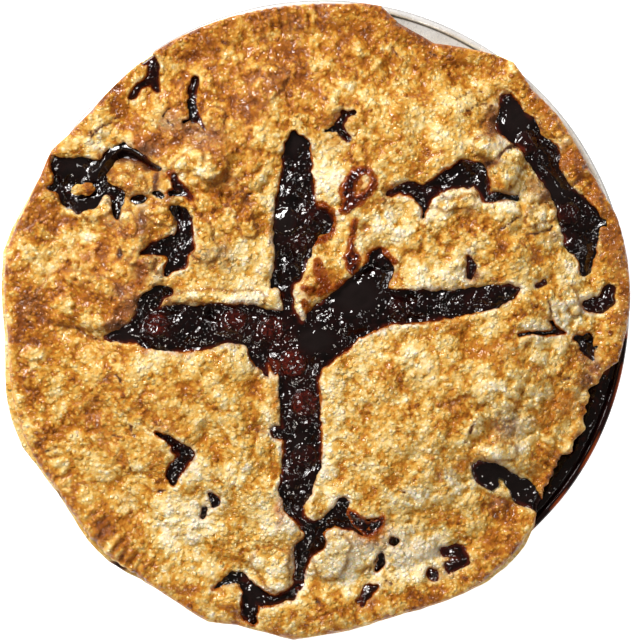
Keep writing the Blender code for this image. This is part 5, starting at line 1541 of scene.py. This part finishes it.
def build_filling(material):
    """Filling: one body that runs through the pie and shows in the vents."""
    loops = region_loops(filling_distance, EDGE_STEP, smallest=3.0)
    bare = keep_inside(hex_points(FILLING_SPACING, FILLING_REACH, 0.2), filling_vent, -1.5)
    covered = keep_inside(hex_points(6.0, 101.0, 0.0), lambda x, y: -filling_vent(x, y), 2.5)
    upper = keep_inside(np.vstack([bare, covered]), filling_distance, 0.4)
    low = [ring_points(radius, np.arange(0.0, 360.0, 3.0)) for radius in (50.0, 88.1, 101.6)]
    low += [ring_points(radius, np.arange(0.0, 360.0, 1.0)) for radius in (102.7, 103.9)]
    low = keep_inside(np.vstack(low), filling_distance, 0.5)
    filling = make_slab("filling_looks", loops, upper, low, filling_top, filling_bottom, material)
    paint_filling(filling)
    return filling


def paint_filling(filling):
    """Paints maroon skins, smooth pools with painted sheen and thin red edges on the filling."""
    x, y = plan_of(filling)[:2]
    vent_edge = 1.0 - smooth_step(0.0, 1.3, filling_vent(x, y))
    here_and_there = smooth_step(-0.3, 0.6, noise(x, y, 6.0, 102))
    paint(filling, maroon=berry_skin(x, y), pool=patches(x, y, JAM_POOLS),
          thin=vent_edge * here_and_there)


def build_rim_pool(name, vent, material):
    """One small pool of syrup in an opening of the lid's rim."""
    def pool_distance(x, y):
        radius, angle = polar(x, y)
        edge = lid_radius(angle) - 0.8 - radius
        return np.minimum(-vent_distance(x, y, [vent]) + 0.5, edge)

    def pool_top(x, y):
        swell = smooth_step(0.0, 3.0, pool_distance(x, y))
        return lid_smooth_top(x, y) - 1.9 + 0.8 * swell + 0.5 * swell * filling_relief(x, y)

    def pool_bottom(x, y):
        return crust_inside(x, y) + 0.4 + 0.5 * (np.hypot(x, y) < 107.5)

    loops = region_loops(pool_distance, step=0.4, smallest=1.0)
    field = keep_inside(hex_points(SYRUP_SPACING, PIE_REACH, 0.2), pool_distance, 0.35)
    pool = make_slab(name + "_looks", loops[:1], field, [], pool_top, pool_bottom, material)
    x, y = plan_of(pool)[:2]
    pool_edge = 1.0 - smooth_step(0.4, 1.6, pool_distance(x, y))
    paint(pool, maroon=0.1, pool=0.0, thin=0.6 * pool_edge)
    return pool


def build_edge_syrup(material):
    """Syrup that ran out at the tongue and set on the tin's flange."""
    first, last = SYRUP_SECTOR
    angles = np.arange(first, last, -0.35)
    inner = outline_radius(angles) - SYRUP_TUCK + np.minimum(torn_edge(angles % 360.0), 0.0)
    outer = SYRUP_OUTER + 0.25 * noise(angles, angles * 0.0, 2.0, 111)
    outer = np.minimum(outer, inner + 2.0 + 4.0 * np.abs(angles - first))
    outer = np.maximum(outer, inner + 0.8)
    loop = np.vstack([ring_points(outer, angles)[::-1], ring_points(inner, angles)])
    middle = [ring_points(inner + part * (outer - inner), angles)[1:-1]
              for part in (0.12, 0.3, 0.5, 0.7, 0.88)]

    def top(x, y):
        radius, angle = polar(x, y)
        start = outline_radius(angle) - SYRUP_TUCK
        across = (radius - start) / (SYRUP_OUTER - start)
        swell = round_over(4.0 * across) * round_over(3.0 * (1.0 - across))
        lumpy = 0.60 * noise(angle * 2.0, radius, 4.0, 112)
        lumpy = lumpy + 0.35 * noise(angle * 2.0, radius * 2.0, 2.4, 113)
        return TIN_FLANGE_TOP + 0.6 + swell * (1.5 + lumpy)

    def bottom(x, y):
        return np.full(len(x), TIN_FLANGE_TOP + 0.1)

    syrup = make_slab("edge_syrup_looks", [loop], np.vstack(middle), [], top, bottom, material)
    x, y = plan_of(syrup)[:2]
    paint(syrup, thick=0.95 + 0.2 * noise(x, y, 3.0, 114))
    return syrup


def build_spot(name, strokes, darkness, material):
    """Syrup that stands up on the crust, hugging it, thin at its edge."""
    lines = [photo_stroke(stroke) for stroke in strokes]

    def inside(x, y):
        return -nearest_stroke(*wander(x, y, 0.5, 2.0, 121), lines)

    def top(x, y):
        depth = round_over(inside(x, y) / 1.6)
        return lid_top(x, y) - 0.12 + 0.55 * depth

    def bottom(x, y):
        return lid_top(x, y) - 0.7

    loops = region_loops(inside, step=0.35, smallest=0.6)
    field = keep_inside(hex_points(SYRUP_SPACING, PIE_REACH, 0.2), inside, 0.3)
    spot = make_slab(name, loops, field, [], top, bottom, material)
    x, y = plan_of(spot)[:2]
    deep = smooth_step(0.0, 1.8, inside(x, y) + 0.4 * noise(x, y, 1.6, 122))
    paint(spot, thick=darkness * deep + 0.15 * noise(x, y, 1.5, 123))
    return spot


def ball_mesh(rings, segments):
    """Points and triangles of a ball of radius 1."""
    verts = [(0.0, 0.0, -1.0)]
    for k in range(1, rings):
        wide = math.sin(math.pi * k / rings)
        high = -math.cos(math.pi * k / rings)
        verts += [(wide * math.cos(turn), wide * math.sin(turn), high)
                  for turn in np.arange(segments) * 2.0 * math.pi / segments]
    verts.append((0.0, 0.0, 1.0))
    last = 1 + (rings - 2) * segments
    faces = []
    for k in range(segments):
        n = (k + 1) % segments
        faces += [(0, 1 + n, 1 + k), (last + k, last + n, len(verts) - 1)]
        for a in range(1, last, segments):
            b = a + segments
            faces += [(a + k, a + n, b + n), (a + k, b + n, b + k)]
    return np.array(verts), faces


def build_crumb(material):
    """Loose piece of crust that lies on the filling in the left hole."""
    cx, cy = CRUMB_CENTRE
    half_x, half_y, half_z = CRUMB_SIZE
    ring = ring_points(half_y, np.arange(0.0, 360.0, 30.0)) * (half_x / half_y, 1.0) + (cx, cy)
    base = float(filling_top(ring[:, 0], ring[:, 1]).max()) + half_z - 0.4
    ball, faces = ball_mesh(18, 36)
    x, y, z = ball.T
    pinched = 1.0 - 0.22 * np.exp(-((x + 0.1) / 0.22) ** 2)
    waist = (0.85 + 0.15 * smooth_step(-0.4, 0.6, x)) * pinched
    wide = 1.0 + 0.16 * noise(4.0 * x, 4.0 * y + 3.0 * z, 1.0, 131)
    crags = 0.25 * noise(3.0 * x, 3.0 * y, 1.0, 132) + 0.15 * noise(7.0 * x, 7.0 * y, 1.0, 134)
    lump = np.stack([cx + half_x * wide * x, cy + half_y * wide * waist * y + 0.5 * x,
                     base + half_z * waist * (z + crags * (z > 0))], axis=1)
    piece = make_mesh("crust_crumb_looks", lump, faces, material)
    x, y, z = plan_of(piece)
    # Painted darker towards the crumb's right side.
    toward_right = smooth_step(-1.2, 0.8, x - cx)
    paint(
        piece,
        bake=0.36 + 0.34 * toward_right + 0.12 * noise(x, y, 2.0, 133),
        stain=0.35 * smooth_step(base, base - 1.2, z) + 0.15,
        film=0.5 * smooth_step(base - 0.5, base - 1.4, z),
        dark=0.0,
        wash=0.3,
    )
    return piece


def tin_profile():
    """Section of the tin as (radius, height), from the floor's underside round the bead."""
    radius, height = BEAD_MIDDLE
    roll = [(radius + BEAD_RADIUS * math.cos(turn), height + BEAD_RADIUS * math.sin(turn))
            for turn in np.radians(np.linspace(-154.0, 174.0, 22))]
    outside = [(0.0, 0.0), (60.0, 0.0), (90.5, 0.0), (92.5, 0.25), (93.6, 1.0), (108.0, 27.8),
               (108.9, 28.9), (109.9, 29.3), (116.6, 29.3)]
    inside = [(116.4, TIN_FLANGE_TOP), (109.6, TIN_FLANGE_TOP), (108.5, 29.8), (107.6, 28.6),
              (92.9, 1.6), (91.8, TIN_FLOOR), (60.0, TIN_FLOOR), (0.0, TIN_FLOOR)]
    return outside + roll + inside


def build_tin(material):
    """Pressed tin: floor, sloping wall, flat flange and rolled bead."""
    profile = tin_profile()
    turns = np.arange(TIN_SEGMENTS) * 2.0 * math.pi / TIN_SEGMENTS
    verts = []
    for radius, height in profile[1:-1]:
        wave = 0.10 * noise(9.0 * turns, height + 0.0 * turns, 1.0, 141) * (radius > 100.0)
        verts += [((radius + w) * math.cos(t), (radius + w) * math.sin(t), height)
                  for t, w in zip(turns, wave)]
    last = len(verts) - TIN_SEGMENTS
    under = len(verts)
    verts += [(0.0, 0.0, 0.0), (0.0, 0.0, TIN_FLOOR)]
    faces = []
    for k in range(TIN_SEGMENTS):
        n = (k + 1) % TIN_SEGMENTS
        for a in range(0, last, TIN_SEGMENTS):
            b = a + TIN_SEGMENTS
            faces.append((a + k, a + n, b + n, b + k))
        faces += [(under, n, k), (under + 1, last + k, last + n)]
    tin = make_mesh("tin_looks", verts, faces, material)
    paint_tin(tin)
    return tin


def paint_tin(tin):
    """Paints syrup film on flange and bead, and painted shade in lines on both sides of the bead.
    """
    x, y, z = plan_of(tin)
    radius, angle = polar(x, y)
    away = np.abs((angle - SYRUP_FILM_ANGLE + 180.0) % 360.0 - 180.0)
    run = 1.0 - smooth_step(19.0, 23.0, away + 1.5 * noise(angle, z, 3.0, 142))
    run = run * (radius > 115.0) * (z > 28.4)
    bare_stripe = smooth_step(118.3, 119.0, radius) * (1.0 - smooth_step(14.0, 18.0, away))
    streaks = smooth_step(-0.5, 0.3, noise(angle, z * 1.5, 5.0, 143))
    # Painted shade in dark lines: in the fold between flange and bead, and on the bead's outer
    # side.
    seam_shade = np.exp(-((radius - 116.9) / 0.40) ** 2) * (z > 28.0)
    outer_edge_shade = 0.8 * smooth_step(119.2, 119.9, radius)
    paint(tin, film=run * (0.95 - 0.60 * bare_stripe * streaks),
          groove=np.maximum(seam_shade, outer_edge_shade))


def area_light(name, place, aim, size, power, colour):
    """A soft square light that points at a place."""
    light = bpy.data.lights.new(name, "AREA")
    light.size = size
    light.energy = power
    light.color = colour
    lamp = bpy.data.objects.new(name, light)
    lamp.location = place
    lamp.rotation_euler = (Vector(aim) - Vector(place)).to_track_quat("-Z", "Y").to_euler()
    lamp.visible_camera = False
    bpy.context.scene.collection.objects.link(lamp)
    return lamp


def build_light():
    """Plain studio light: a key from the photo's upper left, three weak fills and a dim sky."""
    aim = (0.0, 0.0, 0.04)
    white = (1.0, 0.98, 0.96)
    area_light("key", (-1.28, 1.90, 1.90), aim, 1.00, 109.0, white)
    area_light("left", (-2.05, 1.05, 1.85), aim, 0.80, 20.0, white)
    area_light("side", (1.90, 0.55, 2.10), aim, 0.60, 10.0, white)
    area_light("low", (-0.30, -1.95, 2.15), aim, 0.60, 20.0, (1.0, 0.94, 0.86))
    world = bpy.data.worlds.new("studio")
    bpy.context.scene.world = world
    world.use_nodes = True
    sky = world.node_tree.nodes["Background"]
    settle(world.node_tree, sky, {"Color": (1.0, 0.90, 0.78, 1.0), "Strength": 0.10})


def build_floor():
    """A plain pale table under the tin."""
    half = 3000.0
    verts = [(-half, -half, -0.02), (half, -half, -0.02), (half, half, -0.02), (-half, half, -0.02)]
    floor = make_mesh("floor", verts, [(0, 1, 2, 3)], floor_material())


def build_camera():
    """Camera straight above the pie, framed as the photo."""
    lens = 300.0
    sensor = 36.0
    height = PHOTO_SIZE[1] * PIXEL * MM * lens / sensor
    x, y = photo_point(0.5 * PHOTO_SIZE[0], 0.5 * PHOTO_SIZE[1])
    data = bpy.data.cameras.new("camera")
    data.lens = lens
    data.sensor_width = sensor
    data.clip_start = 0.1
    data.clip_end = 20.0
    camera = bpy.data.objects.new("camera", data)
    camera.location = (x * MM, y * MM, 0.036 + height)
    bpy.context.scene.collection.objects.link(camera)
    bpy.context.scene.camera = camera


def main():
    """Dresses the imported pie."""
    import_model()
    lid_pastry = crust_material("lid_crust", 0.65)
    plain_pastry = crust_material("plain_crust", 0.2)
    jam = filling_material()
    syrup = syrup_material("set_syrup")
    pieces = {
        "tin": build_tin(tin_material()),
        "bottom_crust": build_under_crust(plain_pastry),
        "filling": build_filling(jam),
        "top_crust": build_lid(lid_pastry),
        "crust_crumb": build_crumb(plain_pastry),
        "edge_syrup": build_edge_syrup(syrup),
    }
    for name, vent in RIM_POOLS.items():
        pieces[name] = build_rim_pool(name, vent, jam)
    for node, piece in pieces.items():
        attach(piece, "root")
        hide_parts(node)
    for name, (strokes, darkness) in SYRUP_SPOTS.items():
        spot = build_spot(name, strokes, darkness, syrup)
        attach(spot, "root")
    build_floor()
    build_light()
    build_camera()
    bpy.context.scene.view_settings.view_transform = "Standard"


main()
